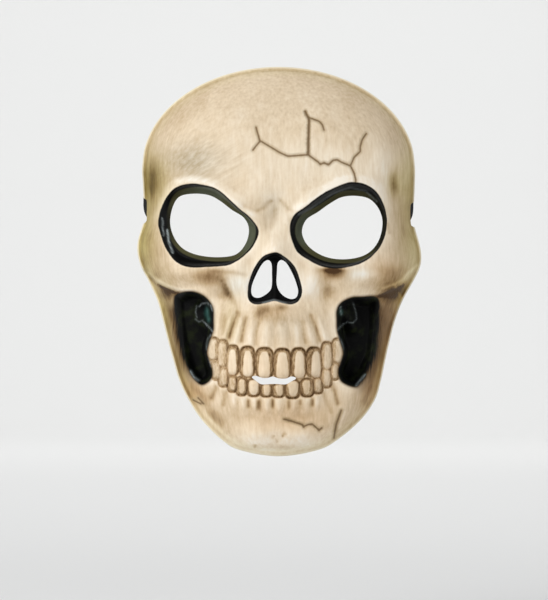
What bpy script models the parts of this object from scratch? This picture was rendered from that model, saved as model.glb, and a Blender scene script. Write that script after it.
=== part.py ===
"""A worn skull mask: one moulded plastic shell held on by a flat elastic.

The tables are in millimetres. x runs to the viewer's right, z up from the line of the eyes,
and depth runs away from the viewer. The origin is where the inside of the nose bridge rests.
"""

import math

import bpy
import numpy as np
from mathutils import Vector
from mathutils.geometry import delaunay_2d_cdt

MM = 0.001
WALL = 1.2                 # sheet thickness of the shell
# Places tried on the ball inside the wall: share of its radius, count
BALL_RINGS = [(0.55, 6), (0.92, 12)]
LIP = 1.3                  # flat edge left by the trimming
SEAT_DEPTH = 2.97          # depth of the inside of the nose bridge

# Side edges of the mask: height, left edge, right edge
EDGES = [
    (29.0, -61.6, 64.9), (22.5, -61.4, 64.9), (13.8, -61.0, 64.6), (8.0, -61.0, 64.4),
    (3.2, -61.2, 64.6), (-0.5, -62.3, 65.3), (-5.0, -63.6, 66.6), (-9.7, -63.9, 67.7),
    (-14.3, -63.1, 67.9), (-18.9, -61.4, 66.8), (-23.5, -58.9, 64.5), (-32.7, -54.7, 59.4),
    (-41.9, -52.0, 55.8), (-51.1, -49.6, 53.3), (-60.3, -47.0, 51.1), (-69.5, -44.2, 49.1),
    (-78.7, -39.8, 46.2), (-87.9, -33.6, 39.6), (-97.1, -24.2, 28.6), (-101.7, -15.8, 19.4),
]
CHIN = (1.8, -104.4)
CROWN_CENTRE = (1.65, 29.0)
CROWN_HALF_WIDTH = 63.25
CROWN_RISE = 46.0
CROWN_RIM_DEPTH = 30.0
CROWN_POWER = 2.6          # the crown rolls back more softly than the sides

# Fall from the middle to the rim: height, depth of the middle, depth of the rim
PROFILE = [
    (29.0, 0.5, 43.0), (12.0, 0.0, 45.5), (0.0, 2.8, 47.0), (-12.0, 4.5, 48.5), (-25.0, 5.0, 48.0),
    (-42.0, 4.5, 45.0), (-60.0, 3.5, 41.0), (-70.0, 3.0, 38.0), (-79.0, 3.0, 34.0), (-88.0, 3.0, 28.0),
    (-96.0, 5.5, 22.0), (-101.0, 10.0, 18.5), (-103.4, 16.4, 17.2), (-104.4, 17.0, 17.0),
]
SHOULDER = 0.6             # share of the fall that is kept for the steep sides
SHOULDER_POWER = 8

# Points of each edge in turn: x, height
SOCKETS = {
    "left": [(-53.8, 4.1), (-50.6, 13.6), (-45.5, 18.9), (-39.1, 20.6), (-31.7, 19.8), (-25.3, 17.3),
             (-17.0, 9.7), (-11.0, 4.6), (-7.5, -0.9), (-9.7, -7.4), (-15.2, -13.3), (-21.6, -16.7),
             (-30.8, -17.5), (-39.1, -17.6), (-45.5, -15.0), (-50.1, -9.2), (-52.7, -2.3)],
    "right": [(6.9, -1.4), (8.3, 5.5), (13.8, 9.9), (20.7, 15.2), (28.1, 19.1), (35.0, 21.2),
              (41.4, 20.2), (46.5, 17.0), (50.1, 10.6), (51.5, 3.2), (49.9, -5.1), (45.5, -11.7),
              (39.1, -15.8), (30.8, -18.1), (22.5, -17.5), (15.2, -14.3), (9.7, -9.9)],
}
EYE_HOLES = {
    "left": [(-48.3, 3.2), (-46.9, 10.6), (-43.7, 15.0), (-37.3, 16.2), (-30.4, 15.5), (-25.3, 12.9),
             (-19.8, 8.7), (-14.3, 5.1), (-12.0, 0.0), (-13.3, -6.4), (-17.9, -11.7), (-26.2, -13.0),
             (-35.4, -12.0), (-42.3, -9.0), (-46.5, -3.7)],
    "right": [(12.4, -1.8), (14.3, 4.1), (19.8, 7.8), (25.3, 11.7), (30.8, 14.6), (37.3, 15.2),
              (43.5, 13.8), (47.8, 9.2), (49.5, 2.8), (47.8, -5.1), (43.5, -10.6), (37.3, -13.3),
              (29.0, -13.9), (21.6, -12.2), (15.2, -7.8)],
}
NOSE = [(-0.5, -11.0), (-6.0, -13.3), (-9.9, -19.3), (-12.0, -25.3), (-12.4, -29.9), (-11.5, -33.1),
        (-8.7, -34.5), (-4.6, -34.0), (-0.2, -32.9), (3.7, -34.0), (7.4, -34.5), (10.6, -33.1),
        (12.4, -29.0), (11.5, -24.4), (9.2, -17.9), (5.5, -13.8), (2.3, -11.7)]
NOSTRILS = {
    "left": [(-3.2, -14.3), (-1.6, -16.1), (-1.4, -20.7), (-1.4, -25.3), (-2.1, -28.1), (-4.6, -30.4),
             (-7.8, -31.7), (-10.4, -30.6), (-10.8, -27.1), (-9.2, -22.3), (-6.0, -16.3)],
    "right": [(2.8, -14.3), (1.2, -15.9), (0.9, -19.8), (0.7, -24.4), (1.4, -27.6), (3.7, -30.6),
              (7.1, -32.2), (9.7, -31.5), (10.6, -28.5), (9.4, -23.9), (7.4, -19.3), (5.1, -15.6)],
}
MOUTH = [(-10.6, -67.9), (-8.7, -67.3), (-6.0, -68.2), (-3.2, -68.2), (-0.9, -67.6), (1.8, -68.5),
         (5.1, -68.5), (7.4, -67.6), (9.7, -68.4), (7.4, -69.9), (4.8, -71.2), (-0.5, -71.0),
         (-6.0, -71.2), (-8.3, -69.9)]
HOLLOWS = {
    "left": [(-46.4, -31.0), (-43.5, -29.3), (-38.5, -28.7), (-34.0, -30.0), (-30.6, -32.6), (-28.4, -36.6),
             (-28.2, -42.0), (-28.3, -46.6), (-30.2, -52.0), (-31.2, -56.5), (-30.4, -60.0), (-28.7, -65.5),
             (-29.6, -69.2), (-33.4, -71.7), (-36.8, -69.6), (-39.6, -65.4), (-42.4, -59.0), (-44.6, -51.5),
             (-46.0, -43.0), (-46.6, -36.5)],
    "right": [(48.0, -33.2), (45.6, -31.0), (40.0, -31.2), (35.1, -31.5), (30.2, -34.0), (28.3, -37.5),
              (28.3, -42.0), (28.5, -46.6), (30.0, -52.0), (31.3, -56.5), (30.6, -60.0), (29.0, -65.0),
              (30.0, -69.4), (33.0, -71.6), (36.2, -72.6), (38.2, -72.2), (41.2, -68.5), (44.0, -63.5),
              (46.6, -57.5), (47.6, -49.0), (48.1, -41.0)],
}

# Teeth: middle, half width, upper end, lower end
UPPER_TEETH = [
    (-28.3, 2.6, -50.1, -60.3), (-23.9, 2.4, -51.3, -63.5), (-19.3, 2.9, -53.8, -66.9),
    (-12.6, 3.3, -54.3, -67.9), (-4.7, 4.0, -54.9, -68.2), (3.4, 3.8, -55.3, -68.7),
    (10.8, 3.3, -55.0, -68.4), (17.8, 3.4, -54.7, -67.8), (23.8, 2.5, -52.2, -64.6),
    (28.7, 2.5, -50.6, -61.4),
]
LOWER_TEETH = [
    (-26.9, 2.0, -60.7, -69.0), (-23.5, 2.2, -63.5, -72.2), (-19.4, 2.0, -67.6, -74.5),
    (-15.2, 2.4, -68.1, -76.1), (-9.7, 2.8, -69.0, -76.4), (-3.9, 2.5, -71.2, -76.6),
    (1.6, 2.7, -71.2, -76.8), (8.0, 3.2, -69.2, -77.3), (14.7, 2.9, -68.8, -76.6),
    (19.6, 2.0, -68.3, -75.2), (23.5, 2.2, -64.0, -72.5), (27.4, 1.8, -61.6, -69.0),
]
TOOTH_PIT = 1.2            # depth of the groove around the teeth
TOOTH_RISE = 2.3           # how far a tooth stands out of it
TOOTH_MARGIN = 0.75        # width of the groove beside a tooth
ROOT_RISE = 0.9
ROOT_SHARE = 0.75          # width of a root, as a share of its tooth's
ROOT_LEAN = {"upper": 0.014, "lower": 0.006}         # the roots draw together away from the teeth
ROOT_FADE = {"upper": (7, 17), "lower": (4, 11)}     # distances from the tooth where a root fades out

# Line of the front teeth: height, depth
MUZZLE = [(-20.0, 9.0), (-30.0, 4.0), (-36.0, 0.5), (-46.0, -2.5), (-55.0, -4.0), (-62.0, -4.8),
          (-68.0, -4.6), (-74.0, -3.2), (-80.0, -1.6), (-86.0, 0.6), (-94.0, 3.0), (-104.4, 12.0)]
ARCH = 0.0165              # curve of the dental arch, per millimetre
MUZZLE_BLEND = 2.5
MUZZLE_TOP = -20.0         # above this height the line of the teeth leaves the face

# Rounded forms, raised where negative: depth, x, height, half width, half height
FORMS = [
    (-1.2, -26.0, 36.0, 20.0, 14.0), (-1.2, 30.0, 36.0, 20.0, 14.0),
    (2.2, -57.0, 23.0, 5.0, 12.0), (2.6, 55.0, 22.0, 4.0, 11.0),
    (-1.6, -14.0, 14.0, 8.0, 5.0), (-1.6, 14.0, 15.5, 8.0, 5.0),
    (1.4, 0.0, 9.0, 3.5, 7.0), (-4.6, 0.0, -9.5, 6.0, 8.0),
    (-2.2, -16.0, -24.0, 4.5, 10.0), (-2.2, 16.5, -24.0, 4.5, 10.0),
    (2.8, -23.5, -30.0, 6.0, 6.0), (2.6, 24.0, -30.0, 6.0, 6.0),
    (-4.2, -44.0, -21.0, 13.0, 6.5), (-4.2, 47.0, -22.0, 13.0, 6.5),
    (-2.6, -61.0, -9.0, 5.0, 9.0), (-2.6, 65.0, -10.0, 5.0, 9.0),
    (-2.4, -8.0, -95.0, 8.0, 5.5), (-2.4, 10.0, -95.0, 8.0, 5.5),
    (1.6, 1.0, -86.0, 14.0, 4.0),
]
# Line under each cheekbone: distance from the middle, height
CHEEK_LINES = {
    "left": [(43, -28.3), (50, -26.0), (55, -23.5), (60, -18.6), (66, -13.0)],
    "right": [(43, -30.5), (53, -27.8), (59, -24.6), (64, -20.8), (70, -14.0)],
}
CHEEK_STEP = 3.4
CHEEK_STEP_FROM = (40, 45)                  # distance from the middle where the step sets in
CHEEK_STEP_FADE = (6, 34)                   # distance below the line where it fades out
# Forms inside the cheek hollows, raised from their floor: x, height, half width, half height, rise
HOLLOW_FORMS = [
    (-33.0, -39.0, 4.2, 5.5, 9.0), (-30.5, -46.0, 2.5, 4.0, 5.0), (-39.0, -68.5, 4.0, 3.0, 3.5),
    (31.5, -38.0, 4.5, 5.0, 9.0), (35.5, -44.5, 3.0, 3.5, 5.5), (37.5, -69.5, 4.5, 2.5, 3.5),
]
SIGN = {"left": -1, "right": 1}

BROW_RIM, BROW_EXTRA, BROW_REACH = 0.9, 1.5, 4.5
BROW_FROM = (-4, 10)                        # heights over which the brow's extra rim grows
NOSE_RIM, NOSE_REACH = 1.4, 3.2
LEDGE_DEPTH, LEDGE_CURVE = 9.5, 0.0042      # ledge round the eye holes
SOCKET_WALL = 0.62                          # share of the way to the hole taken by the sloping wall
NOSE_FLOOR, NOSE_WALL = 7.5, 1.5
SEPTUM_RISE, SEPTUM_WIDTH = 1.2, 1.6
SEPTUM_TOP = (13, 18)                       # distances below the eyes over which it grows
HOLLOW_FLOOR, HOLLOW_FALL = 27.0, 0.12
HOLLOW_NEAR_WALL, HOLLOW_FAR_WALL = 3.2, 5.0
HOLLOW_TURN = (34, 45)                      # distances from the middle between the two walls

# Notches for the elastic: height, depth of the cut
NOTCHES = {"left": (8.7, 1.5), "right": (6.9, 1.6)}
NOTCH_HALF_HEIGHT = 5.1

STRAP_WIDTH = 9.0
STRAP_THICKNESS = 1.0
STRAP_GAP = 0.3            # between the strap's end and the inside of the shell
STRAP_DEPTHS = (31.0, 45.0)                 # where it lies along the inside of the shell
STRAP_TURN = (1.5, 47.7)                    # beside the notch's edge, depth
HEAD_CENTRE = (1.65, 99.0)                  # x, depth
HEAD_HALF_WIDTH = 63.0
HEAD_HALF_LENGTH = 85.0
HEAD_POWER = 3.5
STRAP_SWEEP = (-20.0, 200.0)                # part of the loop behind the mask, in degrees
STRAP_RISE = 0.24                           # it climbs this much towards the back of the head
RIM_DEPTH = 46.0                            # depth of the rim at the notches

STAPLE_WIRE = 0.9
STAPLE_WIDTH = 11.6
STAPLE_DEPTH = 35.0
STAPLE_GAP = 0.3           # to the elastic
STAPLE_END_GAP = 0.75      # along the legs, to the sloping wall

RIM_SPACING = 2.6
FEATURE_SPACING = 2.3
FINE_SPACING = 1.7
# Rings of points beside an edge: name, distances inside it, spacing along it, least gap to others
RINGS = [
    ("rim", (1.3, 2.9), 2.6, 0.9), ("rim", (5.4, 8.6), 4.0, 0.9),
    ("socket_left", (-1.2, 0.3, 2.0), 2.3, 1.1), ("hollow_left", (-0.3, 1.6, 3.4), 2.3, 1.1),
    ("socket_right", (-1.2, 0.3, 2.0), 2.3, 1.1), ("hollow_right", (-0.3, 1.6, 3.4), 2.3, 1.1),
    ("nose", (-0.6, 0.9), 1.7, 0.8),
]
# Rings of points on each tooth: share of its size, widening, number of points
TOOTH_RINGS = [(1.0, 0.25, 10), (0.66, 0.0, 6)]
TOOTH_GAP = 0.9
# Regions of the shell's mesh: spacing, low x, high x, low height, high height
REGIONS = [
    (2.2, -31.0, 31.0, -82.0, -48.0), (3.4, -53.0, 53.0, -78.0, 24.0), (5.6, -70.0, 72.0, -106.0, 78.0),
]
FAR = 14.0                 # distances beyond this are not worked out

# Materials: colour, roughness, metallic
MATERIALS = {
    "mask_shell": ((0.66, 0.58, 0.42), 0.48, 0.0),
    "elastic_strap": ((0.018, 0.018, 0.02), 0.85, 0.0),
    "staple": ((0.62, 0.62, 0.6), 0.35, 1.0),
}


def clear_scene():
    for item in list(bpy.data.objects):
        bpy.data.objects.remove(item, do_unlink=True)


def closed_curve(points, spacing):
    """A smooth closed line through the points, as points about this far apart."""
    p = np.asarray(points, float)
    before, after, second = np.roll(p, 1, 0), np.roll(p, -1, 0), np.roll(p, -2, 0)
    t = np.linspace(0, 1, 16, endpoint=False)[:, None, None]
    fine = 0.5 * (2 * p + (after - before) * t + (2 * before - 5 * p + 4 * after - second) * t**2
                  + (3 * p - before - 3 * after + second) * t**3)
    fine = fine.transpose(1, 0, 2).reshape(-1, 2)
    ring = np.vstack([fine, fine[:1]])
    along = np.concatenate([[0], np.cumsum(np.linalg.norm(np.diff(ring, axis=0), axis=1))])
    at = np.linspace(0, along[-1], max(8, round(along[-1] / spacing)), endpoint=False)
    return np.column_stack([np.interp(at, along, ring[:, k]) for k in (0, 1)])


def distance_inside(x, z, loop):
    """Distance of each point from the loop, positive inside it, no further than FAR outside."""
    low, high = loop.min(0) - FAR, loop.max(0) + FAR
    near = (x > low[0]) & (x < high[0]) & (z > low[1]) & (z < high[1])
    out = np.full(x.shape, -FAR)
    px, pz = x[near][:, None], z[near][:, None]
    a, b = loop, np.roll(loop, -1, 0)
    edge = b - a
    dx, dz = px - a[:, 0], pz - a[:, 1]
    s = np.clip((dx * edge[:, 0] + dz * edge[:, 1]) / (edge**2).sum(1), 0, 1)
    away = np.sqrt(((dx - s * edge[:, 0]) ** 2 + (dz - s * edge[:, 1]) ** 2).min(1))
    crosses = (a[:, 1] > pz) != (b[:, 1] > pz)
    rise = np.where(edge[:, 1] == 0, 1, edge[:, 1])
    left_of = px < a[:, 0] + (pz - a[:, 1]) / rise * edge[:, 0]
    inside = (crosses & left_of).sum(1) % 2 == 1
    out[near] = np.where(inside, away, -away)
    return np.maximum(out, -FAR)


def smooth_step(value, low, high):
    t = np.clip((value - low) / (high - low), 0, 1)
    return t * t * (3 - 2 * t)


def soft_min(a, b, reach):
    h = np.clip(0.5 + 0.5 * (b - a) / reach, 0, 1)
    return b * (1 - h) + a * h - reach * h * (1 - h)


def table_curves(rows, spacing=0.5):
    """The columns of a table as smooth curves of its first column."""
    r = np.array(sorted(rows), float)
    h = r[:, 0]
    slope = np.gradient(r[:, 1:], h, axis=0)
    at = np.arange(h[0], h[-1], spacing)
    i = np.searchsorted(h, at, side="right") - 1
    w = (h[i + 1] - h[i])[:, None]
    t = (at - h[i])[:, None] / w
    start, end = r[i, 1:], r[i + 1, 1:]
    leave, arrive = slope[i] * w, slope[i + 1] * w
    value = (2 * t**3 - 3 * t**2 + 1) * start + (t**3 - 2 * t**2 + t) * leave
    value = value + (3 * t**2 - 2 * t**3) * end + (t**3 - t**2) * arrive
    return np.append(at, h[-1]), np.vstack([value, r[-1, 1:]])


def outline_points():
    """The outer edge in turn: left side downwards, chin, right side upwards, crown."""
    left = [(row[1], row[0]) for row in EDGES]
    right = [(row[2], row[0]) for row in reversed(EDGES)]
    angles = np.radians(np.arange(12, 180, 12))
    cx, cz = CROWN_CENTRE
    crown = [(cx + CROWN_HALF_WIDTH * math.cos(a), cz + CROWN_RISE * math.sin(a)) for a in angles]
    return left + [CHIN] + right + crown


def notched(loop):
    """The outer edge with a shallow notch at each temple."""
    out = loop.copy()
    for side, (height, deep) in NOTCHES.items():
        window = 1 - smooth_step(abs(loop[:, 1] - height), NOTCH_HALF_HEIGHT - 0.2, NOTCH_HALF_HEIGHT + 0.8)
        on_side = SIGN[side] * loop[:, 0] > 0
        out[:, 0] = out[:, 0] - SIGN[side] * deep * window * on_side
    return out


def all_loops(spacing):
    made = {"nose": closed_curve(NOSE, spacing), "mouth": closed_curve(MOUTH, spacing)}
    for side in SIGN:
        made["socket_" + side] = closed_curve(SOCKETS[side], spacing)
        made["eye_" + side] = closed_curve(EYE_HOLES[side], spacing)
        made["hollow_" + side] = closed_curve(HOLLOWS[side], spacing)
        made["nostril_" + side] = closed_curve(NOSTRILS[side], spacing)
    return made


def side_edges():
    """Height and x of each side edge, from the chin to the crown's centre."""
    low = EDGE[:, 1].argmin()
    ring = np.roll(EDGE, -low, 0)
    top = ring[:, 1].argmax()
    right, left = ring[:top], np.vstack([ring[:1], ring[:top:-1]])
    return left, right


LOOPS = all_loops(1.0)
EDGE = closed_curve(outline_points(), 1.0)
LEFT_EDGE, RIGHT_EDGE = side_edges()
PROFILE_AT, PROFILE_DEPTH = table_curves(PROFILE)
MUZZLE_AT, MUZZLE_DEPTH = table_curves(MUZZLE)


def dome(x, z):
    """The plain face: a flat front that turns into steep sides and ends in a narrow lip."""
    low = np.minimum(z, CROWN_CENTRE[1])
    left = np.interp(low, LEFT_EDGE[:, 1], LEFT_EDGE[:, 0])
    right = np.interp(low, RIGHT_EDGE[:, 1], RIGHT_EDGE[:, 0])
    across = abs(x - (left + right) / 2) / np.maximum((right - left) / 2 - LIP, 1)
    up = np.maximum(z - CROWN_CENTRE[1], 0) / (CROWN_RISE - LIP)
    share = np.sqrt(across**2 + up**2)
    lean = up**2 / np.maximum(share**2, 1e-9)
    middle = np.interp(low, PROFILE_AT, PROFILE_DEPTH[:, 0])
    rim = np.interp(low, PROFILE_AT, PROFILE_DEPTH[:, 1])
    rim = rim + (CROWN_RIM_DEPTH - rim) * lean
    share = np.minimum(share, 1)
    power = SHOULDER_POWER + (CROWN_POWER - SHOULDER_POWER) * lean
    return middle + (rim - middle) * ((1 - SHOULDER) * share**2 + SHOULDER * share**power)


def rounded_forms(x, z):
    total = np.zeros_like(x)
    for deep, mid_x, mid_z, wide, tall in FORMS:
        total = total + deep * np.exp(-(((x - mid_x) / wide) ** 2) - ((z - mid_z) / tall) ** 2)
    return total


def cheek_steps(x, z):
    """The bone steps back below each cheekbone."""
    total = np.zeros_like(x)
    for side, line in CHEEK_LINES.items():
        out = SIGN[side] * x
        rows = np.array(line, float)
        below = np.interp(out, rows[:, 0], rows[:, 1]) - z
        fade = smooth_step(below, -0.3, 2.0) * (1 - smooth_step(below, *CHEEK_STEP_FADE))
        total = total + CHEEK_STEP * smooth_step(out, *CHEEK_STEP_FROM) * fade
    return total


def roots(x, z):
    """Ridges of the tooth roots above the upper teeth and below the lower ones."""
    total = np.zeros_like(x)
    rows = [(row, "upper", z - row[2]) for row in UPPER_TEETH[1:-1]]
    rows += [(row, "lower", row[3] - z) for row in LOWER_TEETH[2:-2]]
    for (middle, half, top, bottom), jaw, beyond in rows:
        line = middle * (1 - ROOT_LEAN[jaw] * beyond)
        fade = smooth_step(beyond, -1, 2) * (1 - smooth_step(beyond, *ROOT_FADE[jaw]))
        total = np.maximum(total, fade * np.exp(-(((x - line) / (half * ROOT_SHARE)) ** 2)))
    return total


def teeth(x, z):
    """Depth that the grooves and the teeth add."""
    pit, rise = np.zeros_like(x), np.zeros_like(x)
    for middle, half, top, bottom in UPPER_TEETH + LOWER_TEETH:
        tall = (top - bottom) / 2
        u, v = abs(x - middle), abs(z - (top + bottom) / 2)
        outer = (u / (half + TOOTH_MARGIN)) ** 3 + (v / (tall + TOOTH_MARGIN)) ** 3
        inner = (u / (half - 0.15)) ** 2.6 + (v / (tall - 0.1)) ** 3.4
        pit = np.maximum(pit, smooth_step(1.15 - outer, 0, 0.45))
        rise = np.maximum(rise, np.sqrt(np.clip(1 - inner, 0, 1)))
    return TOOTH_PIT * pit - TOOTH_RISE * rise


def sink_hollow(bone, x, z, inside, side):
    """A closed hollow of the cheek, with a steep wall beside the teeth."""
    out = SIGN[side] * x
    far = smooth_step(out, *HOLLOW_TURN)
    near_cut = smooth_step(inside, 0, HOLLOW_NEAR_WALL)
    cut = near_cut + (smooth_step(inside, 0, HOLLOW_FAR_WALL) - near_cut) * far
    floor = HOLLOW_FLOOR + HOLLOW_FALL * (out - 30)
    for mid_x, mid_z, wide, tall, rise in HOLLOW_FORMS:
        floor = floor - rise * np.exp(-(((x - mid_x) / wide) ** 2) - ((z - mid_z) / tall) ** 2)
    return bone * (1 - cut) + np.maximum(floor, bone + 1.0) * cut


def sink_socket(bone, x, inside, hole):
    """The wall of an eye socket, down to a ledge round the hole."""
    share = np.where(inside <= 0, 0, inside / np.maximum(inside + np.maximum(-hole, 0), 1e-6))
    ledge = np.maximum(LEDGE_DEPTH + LEDGE_CURVE * x**2, bone + 2.0)
    return bone + (ledge - bone) * smooth_step(share, 0, SOCKET_WALL)


def sink_nose(bone, x, z, inside):
    floor = NOSE_FLOOR - SEPTUM_RISE * np.exp(-((x / SEPTUM_WIDTH) ** 2)) * smooth_step(-z, *SEPTUM_TOP)
    return bone + (np.maximum(floor, bone) - bone) * smooth_step(inside, 0, NOSE_WALL)


def relief(x, z):
    """Depth of the outer face at each place."""
    inside = {name: distance_inside(x, z, loop) for name, loop in LOOPS.items()}
    bone = dome(x, z) + rounded_forms(x, z)
    brow = BROW_RIM + BROW_EXTRA * smooth_step(z, *BROW_FROM)
    for side in SIGN:
        bone = bone - brow * np.exp(-((np.maximum(-inside["socket_" + side], 0) / BROW_REACH) ** 2))
    bone = bone - NOSE_RIM * np.exp(-((np.maximum(-inside["nose"], 0) / NOSE_REACH) ** 2))
    bone = bone + cheek_steps(x, z)
    muzzle = np.interp(z, MUZZLE_AT, MUZZLE_DEPTH[:, 0]) + ARCH * x**2 + np.maximum(z - MUZZLE_TOP, 0)
    bone = soft_min(bone, muzzle, MUZZLE_BLEND) - ROOT_RISE * roots(x, z) + teeth(x, z)
    for side in SIGN:
        bone = sink_hollow(bone, x, z, inside["hollow_" + side], side)
        bone = sink_socket(bone, x, inside["socket_" + side], inside["eye_" + side])
    return sink_nose(bone, x, z, inside["nose"])


def inner_face(x, z):
    """Depth of the inner face: a ball as wide as the wall is rolled behind the outer face."""
    deepest = relief(x, z) + WALL
    for radius, count in BALL_RINGS:
        push = WALL * math.sqrt(1 - radius**2)
        for k in range(count):
            angle = 2 * math.pi * k / count
            dx, dz = WALL * radius * math.cos(angle), WALL * radius * math.sin(angle)
            deepest = np.maximum(deepest, relief(x + dx, z + dz) + push)
    return deepest


def lattice(spacing, x0, x1, z0, z1):
    rows = np.arange(z0, z1, spacing * 0.87)
    points = []
    for k, height in enumerate(rows):
        across = np.arange(x0 + (k % 2) * spacing / 2, x1, spacing)
        points += [(px, height) for px in across]
    return np.array(points)


def tooth_points():
    """A ring in the groove, a ring on the face and a middle for each tooth."""
    points = []
    for middle, half, top, bottom in UPPER_TEETH + LOWER_TEETH:
        tall, mid_z = (top - bottom) / 2, (top + bottom) / 2
        points.append((middle, mid_z))
        for share, grow, count in TOOTH_RINGS:
            for k in range(count):
                angle = 2 * math.pi * (k + 0.5) / count
                c, s = math.cos(angle), math.sin(angle)
                bulge = share * (abs(c) ** 3 + abs(s) ** 3) ** (-1 / 3)
                points.append((middle + (half + grow) * bulge * c, mid_z + (tall + grow) * bulge * s))
    return np.array(points)


def inset_rings(loop, distances, spacing):
    """Rings beside a loop, at these distances inside it."""
    skip = max(1, round(spacing))
    along = np.roll(loop, -1, 0) - np.roll(loop, 1, 0)
    normal = np.column_stack([-along[:, 1], along[:, 0]]) / np.linalg.norm(along, axis=1)[:, None]
    area = (loop[:, 0] * np.roll(loop[:, 1], -1) - loop[:, 1] * np.roll(loop[:, 0], -1)).sum()
    normal = normal * np.sign(area)
    return [(loop + normal * d)[::skip] for d in distances]


def keep_apart(points, others, gap):
    """The points that lie at least the gap from the others and from each other."""
    kept = [tuple(p) for p in others]
    grid = {}
    for p in kept:
        grid.setdefault((math.floor(p[0] / gap), math.floor(p[1] / gap)), []).append(p)
    for px, pz in points:
        gx, gz = math.floor(px / gap), math.floor(pz / gap)
        around = [q for i in (-1, 0, 1) for j in (-1, 0, 1) for q in grid.get((gx + i, gz + j), [])]
        if all((px - qx) ** 2 + (pz - qz) ** 2 >= gap * gap for qx, qz in around):
            kept.append((px, pz))
            grid.setdefault((gx, gz), []).append((px, pz))
    return np.array(kept)


def shell_edges():
    """The outer edge and the edges of the holes, in turn."""
    loops = [notched(closed_curve(outline_points(), RIM_SPACING / 2))]
    for side in SIGN:
        loops.append(closed_curve(EYE_HOLES[side], FEATURE_SPACING))
    for side in SIGN:
        loops.append(closed_curve(NOSTRILS[side], FINE_SPACING))
    loops.append(closed_curve(MOUTH, FINE_SPACING))
    return loops


def shell_points(edges):
    """Places of the shell's vertices, closer together where the relief is finer."""
    points = np.vstack(edges)
    lines = {"rim": EDGE, **LOOPS}
    for name, distances, spacing, gap in RINGS:
        for ring in inset_rings(lines[name], distances, spacing):
            points = keep_apart(ring, points, gap)
    points = keep_apart(tooth_points(), points, TOOTH_GAP)
    for spacing, x0, x1, z0, z1 in REGIONS:
        points = keep_apart(lattice(spacing, x0, x1, z0, z1), points, spacing * 0.72)
    inside = distance_inside(points[:, 0], points[:, 1], edges[0]) > 0.5
    for edge in edges[1:]:
        inside &= distance_inside(points[:, 0], points[:, 1], edge) < -0.4
    inside[: sum(len(edge) for edge in edges)] = True
    return points[inside]


def triangulated(points, edges):
    """Triangles over the points, without those outside the mask or in its holes."""
    sides = []
    start = 0
    for edge in edges:
        count = len(edge)
        sides += [(start + k, start + (k + 1) % count) for k in range(count)]
        start += count
    made = delaunay_2d_cdt([Vector(p) for p in points], sides, [], 0, 1e-6, False)
    triangles = np.array(made[2])
    middle = points[triangles].mean(1)
    keep = distance_inside(middle[:, 0], middle[:, 1], edges[0]) > 0
    for edge in edges[1:]:
        keep &= distance_inside(middle[:, 0], middle[:, 1], edge) < 0
    return triangles[keep]


def shell_mesh():
    edges = shell_edges()
    points = shell_points(edges)
    triangles = triangulated(points, edges)
    x, z = points[:, 0], points[:, 1]
    front = np.column_stack([x, relief(x, z) - SEAT_DEPTH, z])
    back = np.column_stack([x, inner_face(x, z) - SEAT_DEPTH, z])
    vertices = np.vstack([front, back]) * MM
    corner = points[triangles]
    a, b = corner[:, 1] - corner[:, 0], corner[:, 2] - corner[:, 0]
    clockwise = a[:, 0] * b[:, 1] - a[:, 1] * b[:, 0] < 0
    triangles[clockwise] = triangles[clockwise][:, ::-1]
    count = len(points)
    faces = [tuple(t) for t in triangles.tolist()]
    faces += [(t[2] + count, t[1] + count, t[0] + count) for t in triangles.tolist()]
    borders = {}
    for t in triangles.tolist():
        for i, j in ((t[0], t[1]), (t[1], t[2]), (t[2], t[0])):
            borders[(i, j)] = (j, i) not in borders
            if not borders[(i, j)]:
                borders[(j, i)] = False
    for (i, j), alone in borders.items():
        if alone:
            faces.append((j, i, i + count))
            faces.append((j, i + count, j + count))
    return vertices, faces


def sweep(path, across, half_across, rim):
    """A closed body along a path: rim is a loop of (side, across) offsets."""
    path = np.asarray(path, float)
    across = np.asarray(across, float)
    steps = np.diff(path, axis=0)
    steps = steps / np.linalg.norm(steps, axis=1)[:, None]
    tangents = np.vstack([steps[:1], steps[:-1] + steps[1:], steps[-1:]])
    tangents = tangents / np.linalg.norm(tangents, axis=1)[:, None]
    vertices, faces = [], []
    for k, here in enumerate(path):
        side = np.cross(tangents[k], across)
        side = side / np.linalg.norm(side)
        turn = tangents[k] @ steps[min(k, len(steps) - 1)]
        for s, a in rim:
            vertices.append(here + side * (s / max(turn, 0.5)) + across * (a * half_across))
    n = len(rim)
    for k in range(len(path) - 1):
        for i in range(n):
            j = (i + 1) % n
            faces.append((k * n + i, k * n + j, (k + 1) * n + j, (k + 1) * n + i))
    faces.append(tuple(reversed(range(n))))
    faces.append(tuple(range((len(path) - 1) * n, len(path) * n)))
    return np.array(vertices) * MM, faces


def strap_height(x, depth):
    """Height of the tilted plane that the elastic lies in."""
    low_x, high_x = (np.interp(NOTCHES[side][0], edge[:, 1], edge[:, 0])
                     for side, edge in (("left", LEFT_EDGE), ("right", RIGHT_EDGE)))
    share = (x - low_x) / (high_x - low_x)
    level = NOTCHES["left"][0] + (NOTCHES["right"][0] - NOTCHES["left"][0]) * share
    return level + STRAP_RISE * (depth - RIM_DEPTH)


def strap_across():
    """Direction of the elastic's width."""
    origin = strap_height(0.0, 0.0)
    normal = np.array([origin - strap_height(1.0, 0.0), origin - strap_height(0.0, 1.0), 1.0])
    return normal / np.linalg.norm(normal)


def wall_out(side, depth, height):
    """How far out the inside of the shell lies at this depth and height of a temple."""
    out = np.linspace(38.0, 66.0, 281)
    wall = inner_face(SIGN[side] * out, np.full_like(out, height))
    return np.interp(depth, np.maximum.accumulate(wall), out)


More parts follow.
